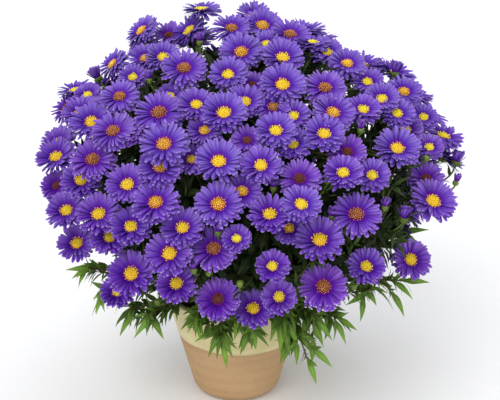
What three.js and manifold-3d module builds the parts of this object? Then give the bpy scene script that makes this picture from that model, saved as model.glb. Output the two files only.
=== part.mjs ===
// A potted aster in full bloom: a clay pot of soil, leafy stems that stand in it, and a dome of daisies.
// Millimetres, +Z up. The origin is the centre of the pot's flat base, and the plant's front faces -Y.
import * as THREE from 'three';
import { mergeVertices } from 'three/addons/utils/BufferGeometryUtils.js';
import Module from 'manifold-3d';

const wasm = await Module();
wasm.setup();

// Pot and soil
const potHeight = 95;
const rimRadius = 62;
const footRadius = 35.5;
const footRound = 14;
const footSteps = 3;
const potWall = 5.5;
const potFloor = 8;
const lipRound = 1.5;
const potSides = 24;
const soilBelowRim = 9;
const clearance = 0.3;
const stemHoleRadius = 3.9;
const stemHoleDepth = 24;
const holeSides = 5;

// The view that the seen blooms and leaves were measured in: a frame of 500 by 400 pixels
const frameCentre = { x: 250, y: 200 };
const focalPixels = 1744;
const viewElevation = THREE.MathUtils.degToRad(20);
const viewDistance = 1500;
const viewTarget = new THREE.Vector3(12, 0, 177);

// The dome that the blooms lie on, and the point that their pedicels run towards
const domeCentre = new THREE.Vector3(13, 0, 207);
const domeRadii = new THREE.Vector3(168, 168, 118);
const heart = new THREE.Vector3(10, 0, 160);
const stepBack = 11;
const forkDepth = 42;
const bendReach = 17;
const innerShell = 51;

// Blooms, buds and pedicels
const seenPetals = 11;
const hiddenPetals = 8;
const discSides = 5;
const notchDepth = 0.7;
const discRadius = 5.2;
const discRise = 0.9;
const discTop = { young: 2.4, middle: 2.8, old: 3.4, dark: 3.6 };
const underRadius = 2.3;
const underDrop = 3;
const pedicelRadius = 0.95;
const forkRadius = 3.3;
const forkGap = 0.5;
const hiddenSpacing = 28;
const budSpacing = 19;
const hiddenDraws = 520;
const hiddenFrom = 0.1;
const lowestHidden = 122;
const sprayCount = 38;
const crowdedForks = [16, 25, 37];

// Leafy stems
const stemRadius = 2.6;
const branchRadius = 1.25;
const branchEndRadius = 0.95;
const stemRing = 22;
const splitRing = 36;
const splitHeight = 122;
const shootHeight = 103;
const leafThickness = 1.2;
const leafArch = 0.1;
const leafStep = 3.5;
const innerLeafShares = [0.42, 0.68];
const innerLeafLength = 30;
const innerLeafWidth = 7;
const hangingLeafWidth = 7.5;

// Directions, in degrees round the heart, between one leafy stem and the next
const sectorMiddle = 70;
const stemBounds = [-180, -153, -128, -95, -74, -50, -24, 5, 35, 65, 95, 122, 150, 180];

// Blooms that the front view shows: the disc's centre across and down that view, the bloom's width, the age
// of its disc, how many steps it lies behind the outermost blooms, and where it faces if not outwards and
// forwards
const seenBlooms = [
  [142, 31, 37, 'middle', 0, 'left'], [113, 64.5, 35, 'middle', 0, 'left'], [146, 59, 38, 'middle', 1],
  [144, 48, 30, 'young', 2], [163, 58, 36, 'young', 1], [133, 78, 30, 'young', 2],
  [75, 91, 36, 'young', 1, 'up'], [66, 108, 36, 'dark', 1, 'left'], [81, 113, 40, 'middle', 0],
  [91.6, 122.5, 44, 'young', 0], [120, 97, 40, 'old', 0], [159, 113, 50, 'old', 0],
  [113.4, 131.6, 46, 'old', 0], [128.6, 133.7, 30, 'dark', 1], [201.8, 7.7, 39, 'young', 0, 'up'],
  [189.6, 30.8, 38, 'young', 0, 'left'], [169, 36, 36, 'dark', 1], [231.5, 28.7, 39, 'old', 0],
  [184, 68.7, 46, 'old', 0], [228.2, 75.3, 40, 'young', 0], [241.2, 52.7, 44, 'middle', 1],
  [196.3, 105.3, 38, 'young', 0], [224, 113.4, 46, 'young', 0], [244.8, 102.7, 40, 'young', 1],
  [164, 144.7, 50, 'middle', 0], [204.8, 131, 36, 'middle', 1], [160, 167.6, 44, 'middle', 1],
  [218.5, 162, 48, 'young', 0], [191.8, 160, 34, 'middle', 2], [56.3, 157.3, 42, 'young', 0],
  [58.5, 143, 36, 'young', 2], [92.6, 160, 46, 'old', 0], [81.3, 181, 42, 'young', 1],
  [127.5, 185.2, 44, 'young', 0], [57, 186, 34, 'dark', 1], [170, 97, 30, 'young', 2],
  [107.3, 106.8, 30, 'young', 2], [88, 95.5, 28, 'young', 2], [66.7, 210.8, 42, 'young', 0],
  [98.8, 214.5, 45, 'young', 0], [131, 227, 42, 'young', 0], [77.2, 243.6, 40, 'young', 0],
  [109.8, 237.6, 38, 'young', 1], [155.6, 203, 48, 'middle', 0], [182.8, 228.2, 44, 'young', 0],
  [169.6, 254.1, 49, 'young', 0], [213.7, 249, 46, 'old', 1], [236.7, 239.2, 30, 'young', 0],
  [218.2, 204.8, 48, 'middle', 0], [131.4, 274.1, 48, 'young', 0], [118, 292, 36, 'young', 1],
  [176.7, 283.9, 42, 'young', 0], [217.8, 299.3, 44, 'dark', 0], [253.2, 309, 42, 'young', 0],
  [279.1, 297.2, 36, 'young', 0], [272.4, 266.8, 35, 'young', 0], [323.5, 286.8, 48, 'old', 0],
  [262.2, 26.2, 42, 'middle', 0], [254, 12, 36, 'young', 2], [290, 34.8, 42, 'old', 0],
  [313.3, 43, 34, 'young', 0, 'up'], [327, 53, 34, 'young', 1], [282.6, 58.1, 43, 'young', 0],
  [266.4, 44.5, 30, 'young', 2], [282.4, 85.2, 47, 'young', 0], [324.9, 88.4, 44, 'old', 0],
  [252, 86, 34, 'dark', 2], [273.3, 107.4, 36, 'old', 1], [293.4, 116.6, 36, 'young', 1],
  [333, 113.2, 44, 'middle', 0], [275.7, 131.4, 42, 'young', 0], [324.1, 134.5, 42, 'young', 0],
  [293, 145, 36, 'young', 1], [347, 64.2, 37, 'middle', 0], [367.3, 82.5, 34, 'young', 1],
  [403.8, 92.4, 38, 'middle', 0], [382, 99.6, 36, 'young', 0], [363.2, 110.4, 36, 'young', 0],
  [396.9, 114, 36, 'young', 0], [405.2, 129.6, 36, 'young', 2], [423.5, 118, 30, 'young', 1],
  [443.5, 136.4, 40, 'young', 0, 'up'], [429, 148, 30, 'young', 1], [397.1, 148.8, 47, 'young', 0],
  [347, 152.5, 40, 'dark', 0], [343.1, 173.6, 40, 'young', 0], [371.9, 176.2, 37, 'young', 0],
  [261, 166, 43, 'young', 0], [299.5, 179.3, 44, 'dark', 0], [301, 204.9, 41, 'young', 0],
  [425.8, 179, 38, 'dark', 1], [432.6, 201.5, 48, 'young', 0], [356.3, 214.9, 50, 'old', 0],
  [242, 191.8, 40, 'middle', 1], [269.5, 214.8, 44, 'young', 0], [319.7, 240.6, 49, 'young', 0],
  [289, 229, 34, 'middle', 1], [247, 141, 34, 'dark', 1], [410.4, 260, 42, 'young', 0],
  [366.1, 267, 39, 'young', 0],
];

// Half-open blooms and closed buds of the front view: across, down, steps behind, and the way they lean
const seenHalfOpen = [
  [97.6, 77.5, 0, 'left'], [394.8, 72.3, 0, 'up'], [456.8, 161.5, 0, 'up'], [404.2, 218, 1, 'up'],
];
const seenBuds = [
  [149.6, 79, 1], [199.7, 41.2, 0], [157, 300.5, 0], [193.7, 269, 0], [360.8, 129, 0],
  [239.9, 282.5, 0], [327.6, 179, 1], [208.9, 271.4, 1], [273.5, 187, 1], [331.5, 216, 1], [354, 284.8, 0],
  [385, 206.4, 1], [426.6, 157, 0], [456, 181.5, 0], [218, 231.4, 1],
];

// Leafy shoots that hang over the rim: where their leaves spring from across and down the front view, how far
// behind (+) or in front (-) of the pot's axis they hang, and the tips of their leaves in that view
const seenShoots = [
  { from: [88, 268], behind: -36, tips: [[66, 270], [70.5, 279], [79, 289]] },
  { from: [102.5, 289], behind: -50, tips: [[92, 299.6], [92.5, 315.5], [108, 312]] },
  { from: [131, 308], behind: -62, tips: [[116, 337.8], [120, 320.7], [134, 326]] },
  { from: [149, 314], behind: -75, tips: [[137, 337.5], [147, 328], [162.6, 340], [167.5, 334]] },
  { from: [196.4, 316], behind: -82, tips: [[202.4, 338], [186, 330]] },
  { from: [220.8, 334], behind: -88, tips: [[193.7, 344], [208.4, 356.5], [226.8, 370.6], [232.8, 357.6]] },
  { from: [252, 328], behind: -90, tips: [[239.3, 353.2], [256, 350]] },
  {
    from: [300, 336], behind: -84, tips: [[275.6, 362], [285, 364], [296.7, 366], [313.5, 382.5], [330, 366]],
  },
  { from: [337, 318], behind: -72, tips: [[327.6, 341], [343.8, 344], [352.8, 329]] },
  { from: [370, 290], behind: -58, tips: [[362, 322.3], [377.4, 306], [350, 306]] },
  { from: [392, 280], behind: -44, tips: [[400.5, 316.4], [425.4, 282], [412, 300]] },
  { from: [403, 231], behind: -14, tips: [[425, 229.7], [421, 244], [401, 248]] },
];
const hiddenShootReach = 112;
const hiddenShootHeight = 96;

// Colours and finishes, in the order that the nodes are made
const finishes = {
  clay: { color: 0xb99b74, roughness: 0.8 },
  soil: { color: 0x2e231b, roughness: 1 },
  leaf: { color: 0x5d7c37, roughness: 0.6 },
  petal: { color: 0x6b3aa6, roughness: 0.7 },
};

// Seeded draws between 0 and 1 that come out the same on every machine
function draws(seed) {
  let state = seed;
  return () => {
    state = (state * 1664525 + 1013904223) % 4294967296;
    return state / 4294967296;
  };
}

// Joining and cutting

function solidOf(vertices, triangles) {
  const vertProperties = new Float32Array(vertices.flatMap((point) => point.toArray()));
  const mesh = new wasm.Mesh({ numProp: 3, vertProperties, triVerts: new Uint32Array(triangles.flat()) });
  const solid = new wasm.Manifold(mesh);
  if (solid.volume() > 0) return solid;
  return new wasm.Manifold(new wasm.Mesh({
    numProp: 3, vertProperties, triVerts: new Uint32Array(triangles.flatMap(([a, b, c]) => [a, c, b])),
  }));
}

function solidOfGeometry(geometry) {
  geometry.deleteAttribute('normal');
  geometry.deleteAttribute('uv');
  const merged = mergeVertices(geometry, 1e-4);
  const points = [];
  for (let i = 0; i < merged.attributes.position.count; i += 1) {
    points.push(new THREE.Vector3().fromBufferAttribute(merged.attributes.position, i));
  }
  const triangles = [];
  const index = merged.index.array;
  for (let i = 0; i < index.length; i += 3) {
    const [a, b, c] = [index[i], index[i + 1], index[i + 2]];
    if (a !== b && b !== c && c !== a) triangles.push([a, b, c]);
  }
  return solidOf(points, triangles);
}

// One body of several solids that are sunk into each other: the largest, where a scrap comes loose
function fused(solids) {
  const bodies = wasm.Manifold.union(solids).simplify(0.01).decompose();
  return bodies.reduce((best, body) => (body.volume() > best.volume() ? body : best));
}

function geometryOf(solid) {
  const mesh = solid.getMesh();
  const geometry = new THREE.BufferGeometry();
  geometry.setAttribute('position', new THREE.BufferAttribute(new Float32Array(mesh.vertProperties), 3));
  geometry.setIndex(new THREE.BufferAttribute(new Uint32Array(mesh.triVerts), 1));
  return geometry;
}

const plant = new THREE.Group();

function addPart(name, solid, finish) {
  const material = new THREE.MeshStandardMaterial({ ...finishes[finish], metalness: 0 });
  const mesh = new THREE.Mesh(geometryOf(solid), material);
  mesh.name = name;
  plant.add(mesh);
}

// The view

const lookAcross = new THREE.Vector3(1, 0, 0);
const lookUp = new THREE.Vector3(0, Math.sin(viewElevation), Math.cos(viewElevation));
const lookIn = new THREE.Vector3(0, Math.cos(viewElevation), -Math.sin(viewElevation));
const eye = viewTarget.clone().addScaledVector(lookIn, -viewDistance);

// The way from the eye through a pixel, one unit long along the line of sight
function sightLine(x, y) {
  return lookIn.clone()
    .addScaledVector(lookAcross, (x - frameCentre.x) / focalPixels)
    .addScaledVector(lookUp, (frameCentre.y - y) / focalPixels);
}

// Where the sight line meets the dome, or passes it closest, with its distance along the line of sight
function onDome(x, y, steps) {
  const line = sightLine(x, y);
  const start = eye.clone().sub(domeCentre).divide(domeRadii);
  const way = line.clone().divide(domeRadii);
  const squared = way.dot(way);
  const across = start.dot(way);
  const root = Math.sqrt(Math.max(0, across * across - squared * (start.dot(start) - 1)));
  const reach = (-across - root) / squared + steps * stepBack;
  return { place: eye.clone().addScaledVector(line, reach), reach };
}

function behindAxis(x, y, depth) {
  const line = sightLine(x, y);
  return eye.clone().addScaledVector(line, (depth - eye.y) / line.y);
}

function outwards(place) {
  return place.clone().sub(domeCentre).divide(domeRadii).divide(domeRadii).normalize();
}

// Where the line from the heart in one direction leaves the dome
function domeSurface(direction) {
  const start = heart.clone().sub(domeCentre).divide(domeRadii);
  const way = direction.clone().divide(domeRadii);
  const squared = way.dot(way);
  const across = start.dot(way);
  const reach = (-across + Math.sqrt(across * across - squared * (start.dot(start) - 1))) / squared;
  return heart.clone().addScaledVector(direction, reach);
}

// The layout of the blooms

const upwards = new THREE.Vector3(0, 0, 1);
const leftLean = new THREE.Vector3(-0.7, 0, 0.5);

function facingOf(place, lean, shake) {
  const out = outwards(place);
  const towardsEye = eye.clone().sub(place).normalize();
  if (lean === 'up') return out.multiplyScalar(0.35).add(upwards).normalize();
  if (lean === 'left') {
    return out.multiplyScalar(0.5).addScaledVector(towardsEye, 0.35).add(leftLean).normalize();
  }
  if (lean === 'hidden') return out.addScaledVector(upwards, 0.35).add(shake).normalize();
  out.multiplyScalar(0.7).addScaledVector(towardsEye, 1.25).addScaledVector(upwards, 0.2);
  return out.add(shake).normalize();
}

function layOutHeads() {
  const draw = draws(7);
  const shaking = (size) => new THREE.Vector3(draw() - 0.5, draw() - 0.5, draw() - 0.5).multiplyScalar(size);
  const heads = [];
  for (const [x, y, width, age, steps, lean] of seenBlooms) {
    const { place, reach } = onDome(x, y, steps);
    const radius = (width / 2) * (reach / focalPixels);
    const facing = facingOf(place, lean, shaking(0.5));
    heads.push({ kind: 'bloom', place, facing, radius, age, petals: seenPetals, turn: draw() });
  }
  for (const [x, y, steps, lean] of seenHalfOpen) {
    const { place } = onDome(x, y, steps);
    heads.push({ kind: 'halfOpen', place, facing: facingOf(place, lean, shaking(0.2)), turn: draw() });
  }
  for (const [x, y, steps] of seenBuds) {
    const { place } = onDome(x, y, steps);
    heads.push({ kind: 'bud', place, facing: facingOf(place, 'up', shaking(0.4)), turn: draw() });
  }
  const golden = Math.PI * (3 - Math.sqrt(5));
  for (let i = 0; i < hiddenDraws; i += 1) {
    const rise = 1 - (2 * (i + 0.5)) / hiddenDraws;
    const ring = Math.sqrt(1 - rise * rise);
    const direction = new THREE.Vector3(ring * Math.cos(i * golden), ring * Math.sin(i * golden), rise);
    const place = direction.multiply(domeRadii).add(domeCentre);
    const out = outwards(place);
    const inView = out.dot(eye.clone().sub(place).normalize()) > hiddenFrom;
    if (inView || place.z < lowestHidden) continue;
    const spacing = (head) => (head.kind === 'bloom' ? hiddenSpacing : budSpacing);
    if (heads.some((head) => head.place.distanceTo(place) < spacing(head))) continue;
    const facing = facingOf(place, 'hidden', shaking(0.5));
    const sunk = draw() * 1.4;
    place.addScaledVector(out, -sunk * stepBack);
    const radius = 17.5 + 3.5 * draw();
    const age = ['young', 'middle', 'young', 'old', 'middle', 'dark'][Math.floor(draw() * 6)];
    heads.push({ kind: 'bloom', place, facing, radius, age, petals: hiddenPetals, turn: draw() });
  }
  return heads;
}

// Heads that grow from one fork: each joins the nearest of a set of directions, which then move to their
// middle
function gatherSprays(heads) {
  for (const head of heads) head.direction = head.place.clone().sub(heart).normalize();
  const forks = Array.from({ length: sprayCount }, (_, i) => (
    heads[Math.floor(((i + 0.5) * heads.length) / sprayCount)].direction.clone()));
  for (let round = 0; round < 40; round += 1) {
    const members = forks.map(() => []);
    for (const head of heads) {
      head.spray = forks.reduce((best, fork, i) => (
        fork.distanceTo(head.direction) < forks[best].distanceTo(head.direction) ? i : best), 0);
      members[head.spray].push(head);
    }
    if (round === 39) break;
    members.forEach((group, i) => {
      const middle = new THREE.Vector3();
      for (const head of group) middle.add(head.direction);
      forks[i].copy(middle.normalize());
    });
  }
  return forks;
}

// Points of a ring round a line, with the first two axes of a frame about its direction
function frameOf(direction) {
  const guide = Math.abs(direction.z) < 0.9 ? upwards : lookAcross;
  const side = new THREE.Vector3().crossVectors(guide, direction).normalize();
  const rise = new THREE.Vector3().crossVectors(direction, side);
  return { side, rise };
}

function onRing(centre, frame, radius, angle) {
  return centre.clone()
    .addScaledVector(frame.side, radius * Math.cos(angle))
    .addScaledVector(frame.rise, radius * Math.sin(angle));
}

// Triangles between two closed rings of points, each given by the index of its first point and its angles
function bridge(firstLow, anglesLow, firstHigh, anglesHigh) {
  const triangles = [];
  const turn = 2 * Math.PI;
  const at = (angles, i) => angles[i % angles.length] + turn * Math.floor(i / angles.length);
  let low = 0;
  let high = 0;
  while (low < anglesLow.length || high < anglesHigh.length) {
    const lowIndex = firstLow + (low % anglesLow.length);
    const highIndex = firstHigh + (high % anglesHigh.length);
    const lowMiddle = at(anglesLow, low) + at(anglesLow, low + 1);
    const highMiddle = at(anglesHigh, high) + at(anglesHigh, high + 1);
    const lowFirst = high >= anglesHigh.length || (low < anglesLow.length && lowMiddle <= highMiddle);
    if (lowFirst) {
      triangles.push([lowIndex, firstLow + ((low + 1) % anglesLow.length), highIndex]);
      low += 1;
    } else {
      triangles.push([lowIndex, firstHigh + ((high + 1) % anglesHigh.length), highIndex]);
      high += 1;
    }
  }
  return triangles;
}

const evenAngles = (count) => Array.from({ length: count }, (_, i) => (2 * Math.PI * i) / count);

// The head of a bloom, bud or half-open bloom: rings of points from its underside up to the tip of its disc.
// core counts the points, from the first, that keep their place when the head makes room for its neighbours.
function shapeHead(head) {
  const { place, facing } = head;
  const plain = frameOf(facing);
  const turn = head.turn * 2 * Math.PI;
  const frame = {
    side: onRing(new THREE.Vector3(), plain, 1, turn),
    rise: onRing(new THREE.Vector3(), plain, 1, turn + Math.PI / 2),
  };
  const above = (height) => place.clone().addScaledVector(facing, height);
  const under = evenAngles(3);
  let rings;
  let top;
  let bottom;
  if (head.kind === 'bloom') {
    const outline = evenAngles(2 * head.petals);
    const lift = head.age === 'old' ? [-0.09, 0.06] : [0.1, -0.03];
    const petalPoint = (angle, i) => {
      const tip = i % 2 === 0;
      const height = tip ? lift[(i / 2) % 2] * head.radius : 0;
      return onRing(above(height), frame, tip ? head.radius : notchDepth * head.radius, angle);
    };
    rings = [
      { angles: evenAngles(discSides), point: (angle) => onRing(above(discRise), frame, discRadius, angle) },
      { angles: outline, point: petalPoint },
    ];
    top = above(discTop[head.age]);
    bottom = -underDrop;
  } else if (head.kind === 'halfOpen') {
    const cup = (angle, i) => (
      i % 2 === 0 ? onRing(above(9), frame, 8, angle) : onRing(above(6), frame, 5.5, angle));
    rings = [{ angles: evenAngles(12), point: cup }];
    top = above(5);
    bottom = -4;
  } else {
    rings = [{ angles: evenAngles(5), point: (angle) => onRing(above(0), frame, 3.4, angle) }];
    top = above(5);
    bottom = -4;
  }
  const points = under.map((angle) => onRing(above(bottom), frame, underRadius, angle));
  points.push(top);
  const starts = [];
  for (const ring of rings) {
    starts.push(points.length);
    ring.angles.forEach((angle, i) => points.push(ring.point(angle, i)));
  }
  const last = rings.length - 1;
  const triangles = bridge(0, under, starts[last], rings[last].angles);
  if (last === 1) triangles.push(...bridge(starts[1], rings[1].angles, starts[0], rings[0].angles));
  const inner = rings[0].angles.length;
  for (let i = 0; i < inner; i += 1) triangles.push([starts[0] + i, starts[0] + ((i + 1) % inner), 3]);
  Object.assign(head, {
    frame, points, triangles, foot: above(bottom), heartOfHead: above(bottom / 5),
    core: head.kind === 'bloom' ? 4 + discSides : points.length,
  });
}

// A ring of three round a point, square to one way, with its corners turned as those of the ring before
function carriedRing(corners, place, way, radius) {
  const middle = corners[0].clone().add(corners[1]).add(corners[2]).divideScalar(3);
  const first = corners[0].clone().sub(middle);
  first.addScaledVector(way, -first.dot(way)).normalize();
  const frame = { side: first, rise: new THREE.Vector3().crossVectors(way, first) };
  return evenAngles(3).map((angle) => onRing(place, frame, radius, angle));
}

// The way through a bend: the mean of the ways in and out
function meanWay(before, bend, after) {
  return bend.clone().sub(before).normalize().add(after.clone().sub(bend).normalize()).normalize();
}

// The sides between two rings of three, given by their indices, turned so that they twist least and split
// along their shorter diagonals
function sidesBetween(points, low, high) {
  const apart = (one, other) => points[one].distanceTo(points[other]);
  const length = (shift) => high.reduce((sum, index, k) => sum + apart(index, low[(k + shift) % 3]), 0);
  const lengths = [0, 1, 2].map(length);
  const shift = lengths.indexOf(Math.min(...lengths));
  const from = [0, 1, 2].map((k) => low[(k + shift) % 3]);
  const lean = [0, 1, 2].reduce((sum, k) => (
    sum + apart(from[(k + 1) % 3], high[k]) - apart(from[k], high[(k + 1) % 3])), 0);
  return [0, 1, 2].flatMap((k) => {
    const next = (k + 1) % 3;
    return lean < 0 ? [[from[k], from[next], high[k]], [high[k], from[next], high[next]]]
      : [[from[k], from[next], high[next]], [from[k], high[next], high[k]]];
  });
}

// The fork of a spray: a small knob of twenty faces, with one corner towards the branch that bears it
function shapeKnob(fork) {
  const knob = new THREE.IcosahedronGeometry(forkRadius, 0);
  knob.deleteAttribute('normal');
  knob.deleteAttribute('uv');
  const merged = mergeVertices(knob, 1e-4);
  const corner = new THREE.Vector3().fromBufferAttribute(merged.attributes.position, 0).normalize();
  const turn = new THREE.Quaternion().setFromUnitVectors(corner, fork.from.clone().negate());
  const points = [];
  for (let i = 0; i < merged.attributes.position.count; i += 1) {
    const point = new THREE.Vector3().fromBufferAttribute(merged.attributes.position, i);
    points.push(point.applyQuaternion(turn).add(fork.place));
  }
  const faces = [];
  for (let i = 0; i < merged.index.count; i += 3) faces.push([...merged.index.array.slice(i, i + 3)]);
  return { points, faces };
}

// Where a pedicel bends from the way that its head faces towards its fork, with its two turns the slightest
function bendOf(head) {
  const room = head.foot.distanceTo(head.fork);
  const home = head.foot.clone().sub(head.fork).normalize();
  let best = { turn: -Infinity };
  for (const facingShare of [0.4, 0.8, 1.4, 2]) {
    for (const homeShare of [0, 0.6, 1.2]) {
      const back = head.facing.clone().multiplyScalar(facingShare).add(head.direction);
      back.addScaledVector(home, homeShare).normalize();
      const bend = head.foot.clone().addScaledVector(back, -Math.min(bendReach, 0.5 * room));
      const turn = Math.min(back.dot(head.facing), bend.clone().sub(head.fork).normalize().dot(back));
      if (turn > best.turn) best = { turn, bend };
    }
  }
  return best.bend;
}

// Which face of the knob each pedicel grows from: the faces that look most nearly along the pedicels
function chooseFaces(knob, fork, members) {
  const normals = knob.faces.map((face) => {
    const [a, b, c] = face.map((index) => knob.points[index].clone().sub(fork.place));
    return a.add(b).add(c).normalize();
  });
  const ways = members.map((head) => head.bend.clone().sub(fork.place).normalize());
  const chosen = ways.map(() => -1);
  for (let round = 0; round < members.length; round += 1) {
    let best = { fit: -Infinity };
    ways.forEach((way, i) => {
      if (chosen[i] >= 0) return;
      normals.forEach((normal, k) => {
        const fit = normal.dot(way);
        if (!chosen.includes(k) && fit > best.fit) best = { fit, i, k };
      });
    });
    chosen[best.i] = best.k;
  }
  for (let i = 0; i < chosen.length; i += 1) {
    for (let j = 0; j < i; j += 1) {
      const [one, other] = [normals[chosen[i]], normals[chosen[j]]];
      if (one.dot(ways[j]) + other.dot(ways[i]) > one.dot(ways[i]) + other.dot(ways[j])) {
        [chosen[i], chosen[j]] = [chosen[j], chosen[i]];
      }
    }
  }
  return chosen;
}

// A head and its pedicel as a body of their own, with the pedicel's root at the middle of the fork
function wholeHead(fork, head) {
  const way = head.bend.clone().sub(fork.place).normalize();
  const root = evenAngles(3).map((angle) => onRing(fork.place, frameOf(way), pedicelRadius, angle));
  const bendRing = carriedRing(root, head.bend, meanWay(fork.place, head.bend, head.foot), pedicelRadius);
  const points = [...root, ...bendRing, ...head.points];
  return solidOf(points, [
    [0, 2, 1], ...sidesBetween(points, [0, 1, 2], [3, 4, 5]), ...sidesBetween(points, [3, 4, 5], [6, 7, 8]),
    ...head.triangles.map((triangle) => triangle.map((index) => index + 6)),
  ]);
}

// A spray: the knob, and out of its faces the three-sided pedicels that widen into the heads. Where pedicels
// would cross near the knob, whole heads are fused with it instead.
function spray(fork, members) {
  const knob = shapeKnob(fork);
  if (crowdedForks.includes(fork.index + 1)) {
    return fused([solidOf(knob.points, knob.faces), ...members.map((head) => wholeHead(fork, head))]);
  }
  const chosen = chooseFaces(knob, fork, members);
  const points = [...knob.points];
  const triangles = knob.faces.filter((_, k) => !chosen.includes(k));
  members.forEach((head, i) => {
    const face = knob.faces[chosen[i]];
    const bendStart = points.length;
    const corners = face.map((index) => points[index]);
    points.push(...carriedRing(corners, head.bend, meanWay(fork.place, head.bend, head.foot), pedicelRadius));
    const headStart = points.length;
    points.push(...head.points);
    const bendIndices = [bendStart, bendStart + 1, bendStart + 2];
    triangles.push(...sidesBetween(points, face, bendIndices));
    triangles.push(...sidesBetween(points, bendIndices, [headStart, headStart + 1, headStart + 2]));
    triangles.push(...head.triangles.map((triangle) => triangle.map((index) => index + headStart)));
  });
  return solidOf(points, triangles);
}

// Room between neighbours

function farthestAlong(points, way) {
  let most = -Infinity;
  for (const point of points) most = Math.max(most, point.dot(way));
  return most;
}

function nearestAlong(points, way) {
  let least = Infinity;
  for (const point of points) least = Math.min(least, point.dot(way));
  return least;
}

// How well a plane across one way parts two pieces: their cores have to be clear, and then the less it cuts
// the better
function parting(one, other, way) {
  const coreGap = nearestAlong(other.coreList, way) - farthestAlong(one.coreList, way);
  const gap = nearestAlong(other.list, way) - farthestAlong(one.list, way);
  return { score: Math.min(gap, clearance) + 8 * Math.min(0, coreGap - clearance), coreGap, way };
}

function bestParting(one, other) {
  const between = other.middle.clone().sub(one.middle).normalize();
  const guides = [one.facing, other.facing].filter(Boolean);
  let best = parting(one, other, between);
  for (const guide of guides) {
    for (const share of [-4, -2, -1, -0.5, 0.5, 1, 2, 4]) {
      const tried = parting(one, other, between.clone().addScaledVector(guide, share).normalize());
      if (tried.score > best.score) best = tried;
    }
  }
  const draw = draws(11);
  for (let size = 0.6; size > 0.04; size *= 0.75) {
    for (let i = 0; i < 5; i += 1) {
      const shift = new THREE.Vector3(draw() - 0.5, draw() - 0.5, draw() - 0.5).multiplyScalar(size);
      const tried = parting(one, other, best.way.clone().add(shift).normalize());
      if (tried.score > best.score) best = tried;
    }
  }
  return best;
}

// The plane that keeps one piece on its side, and where the other can give way too, the plane for that one
function shareRoom(one, other) {
  const { way, coreGap } = bestParting(one, other);
  const halfWay = (farthestAlong(one.list, way) + nearestAlong(other.list, way)) / 2;
  const lowest = farthestAlong(one.coreList, way) + clearance / 2;
  const highest = nearestAlong(other.coreList, way) - clearance / 2;
  const level = coreGap < clearance ? (lowest + highest) / 2
    : Math.min(Math.max(halfWay, lowest), highest);
  one.planes.push({ way, level: level - clearance / 2 });
  if (other.planes) other.planes.push({ way: way.clone().negate(), level: -level - clearance / 2 });
}

// Points behind every plane: each one past a plane goes back along the line to the root
const leastShare = 0.25;

function pullBehind(points, root, planes) {
  for (const point of points) {
    let share = 1;
    for (const { way, level } of planes) {
      const far = point.dot(way);
      const near = root.dot(way);
      const kept = (level - near) / (far - near);
      if (far > level && far > near) share = Math.min(share, Math.max(leastShare, kept));
    }
    if (share < 1) point.lerpVectors(root, point, share);
  }
}

function asPiece(points, facing) {
  const middle = new THREE.Vector3();
  for (const point of points) middle.addScaledVector(point, 1 / points.length);
  return { list: points, coreList: points, middle, facing, size: farthest(points, middle) };
}

function farthest(points, middle) {
  return Math.max(...points.map((point) => point.distanceTo(middle)));
}

// The space of a straight stretch of stem or pedicel, with its radius at each end
function stretchPiece(from, to, radius, endRadius) {
  const { side, rise } = frameOf(to.clone().sub(from).normalize());
  const points = [];
  for (const [end, reach] of [[from, radius], [to, endRadius]]) {
    for (const way of [side, rise]) {
      points.push(end.clone().addScaledVector(way, reach), end.clone().addScaledVector(way, -reach));
    }
  }
  return asPiece(points);
}

// Every head gives way to the heads, pedicels, forks and leaves round it
function makeRoom(heads, obstacles) {
  for (const head of heads) {
    head.planes = [];
    head.list = head.points;
    head.coreList = head.points.slice(0, head.core);
    head.middle = head.heartOfHead;
    head.size = farthest(head.list, head.middle);
    head.stalk = [
      stretchPiece(head.foot, head.bend, underRadius, pedicelRadius),
      stretchPiece(head.bend, head.fork, pedicelRadius, pedicelRadius),
    ];
  }
  const near = (one, other) => one.middle.distanceTo(other.middle) < one.size + other.size + 1;
  heads.forEach((head, i) => {
    for (const other of heads.slice(i + 1)) {
      if (near(head, other)) shareRoom(head, other);
    }
    for (const other of heads) {
      if (other === head) continue;
      for (const piece of other.stalk) {
        if (near(head, piece)) shareRoom(head, piece);
      }
    }
    for (const obstacle of obstacles) {
      if (near(head, obstacle)) shareRoom(head, obstacle);
    }
  });
  for (const head of heads) pullBehind(head.list.slice(head.core), head.heartOfHead, head.planes);
}

// Tubes and blades

// A three-sided tube, whose rings keep their turn from station to station
function tube(stations, radii) {
  const points = [];
  const triangles = [];
  let corners = null;
  stations.forEach((station, i) => {
    const before = stations[i - 1] ?? station.clone().multiplyScalar(2).sub(stations[i + 1]);
    const after = stations[i + 1] ?? station.clone().multiplyScalar(2).sub(before);
    const way = meanWay(before, station, after);
    const start = corners ?? evenAngles(3).map((angle) => onRing(station, frameOf(way), radii[i], angle));
    corners = carriedRing(start, station, way, radii[i]);
    points.push(...corners);
    if (i > 0) {
      const low = 3 * i - 3;
      triangles.push(...sidesBetween(points, [low, low + 1, low + 2], [low + 3, low + 4, low + 5]));
    }
  });
  const last = points.length - 3;
  triangles.push([0, 2, 1], [last, last + 1, last + 2]);
  return solidOf(points, triangles);
}

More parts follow.
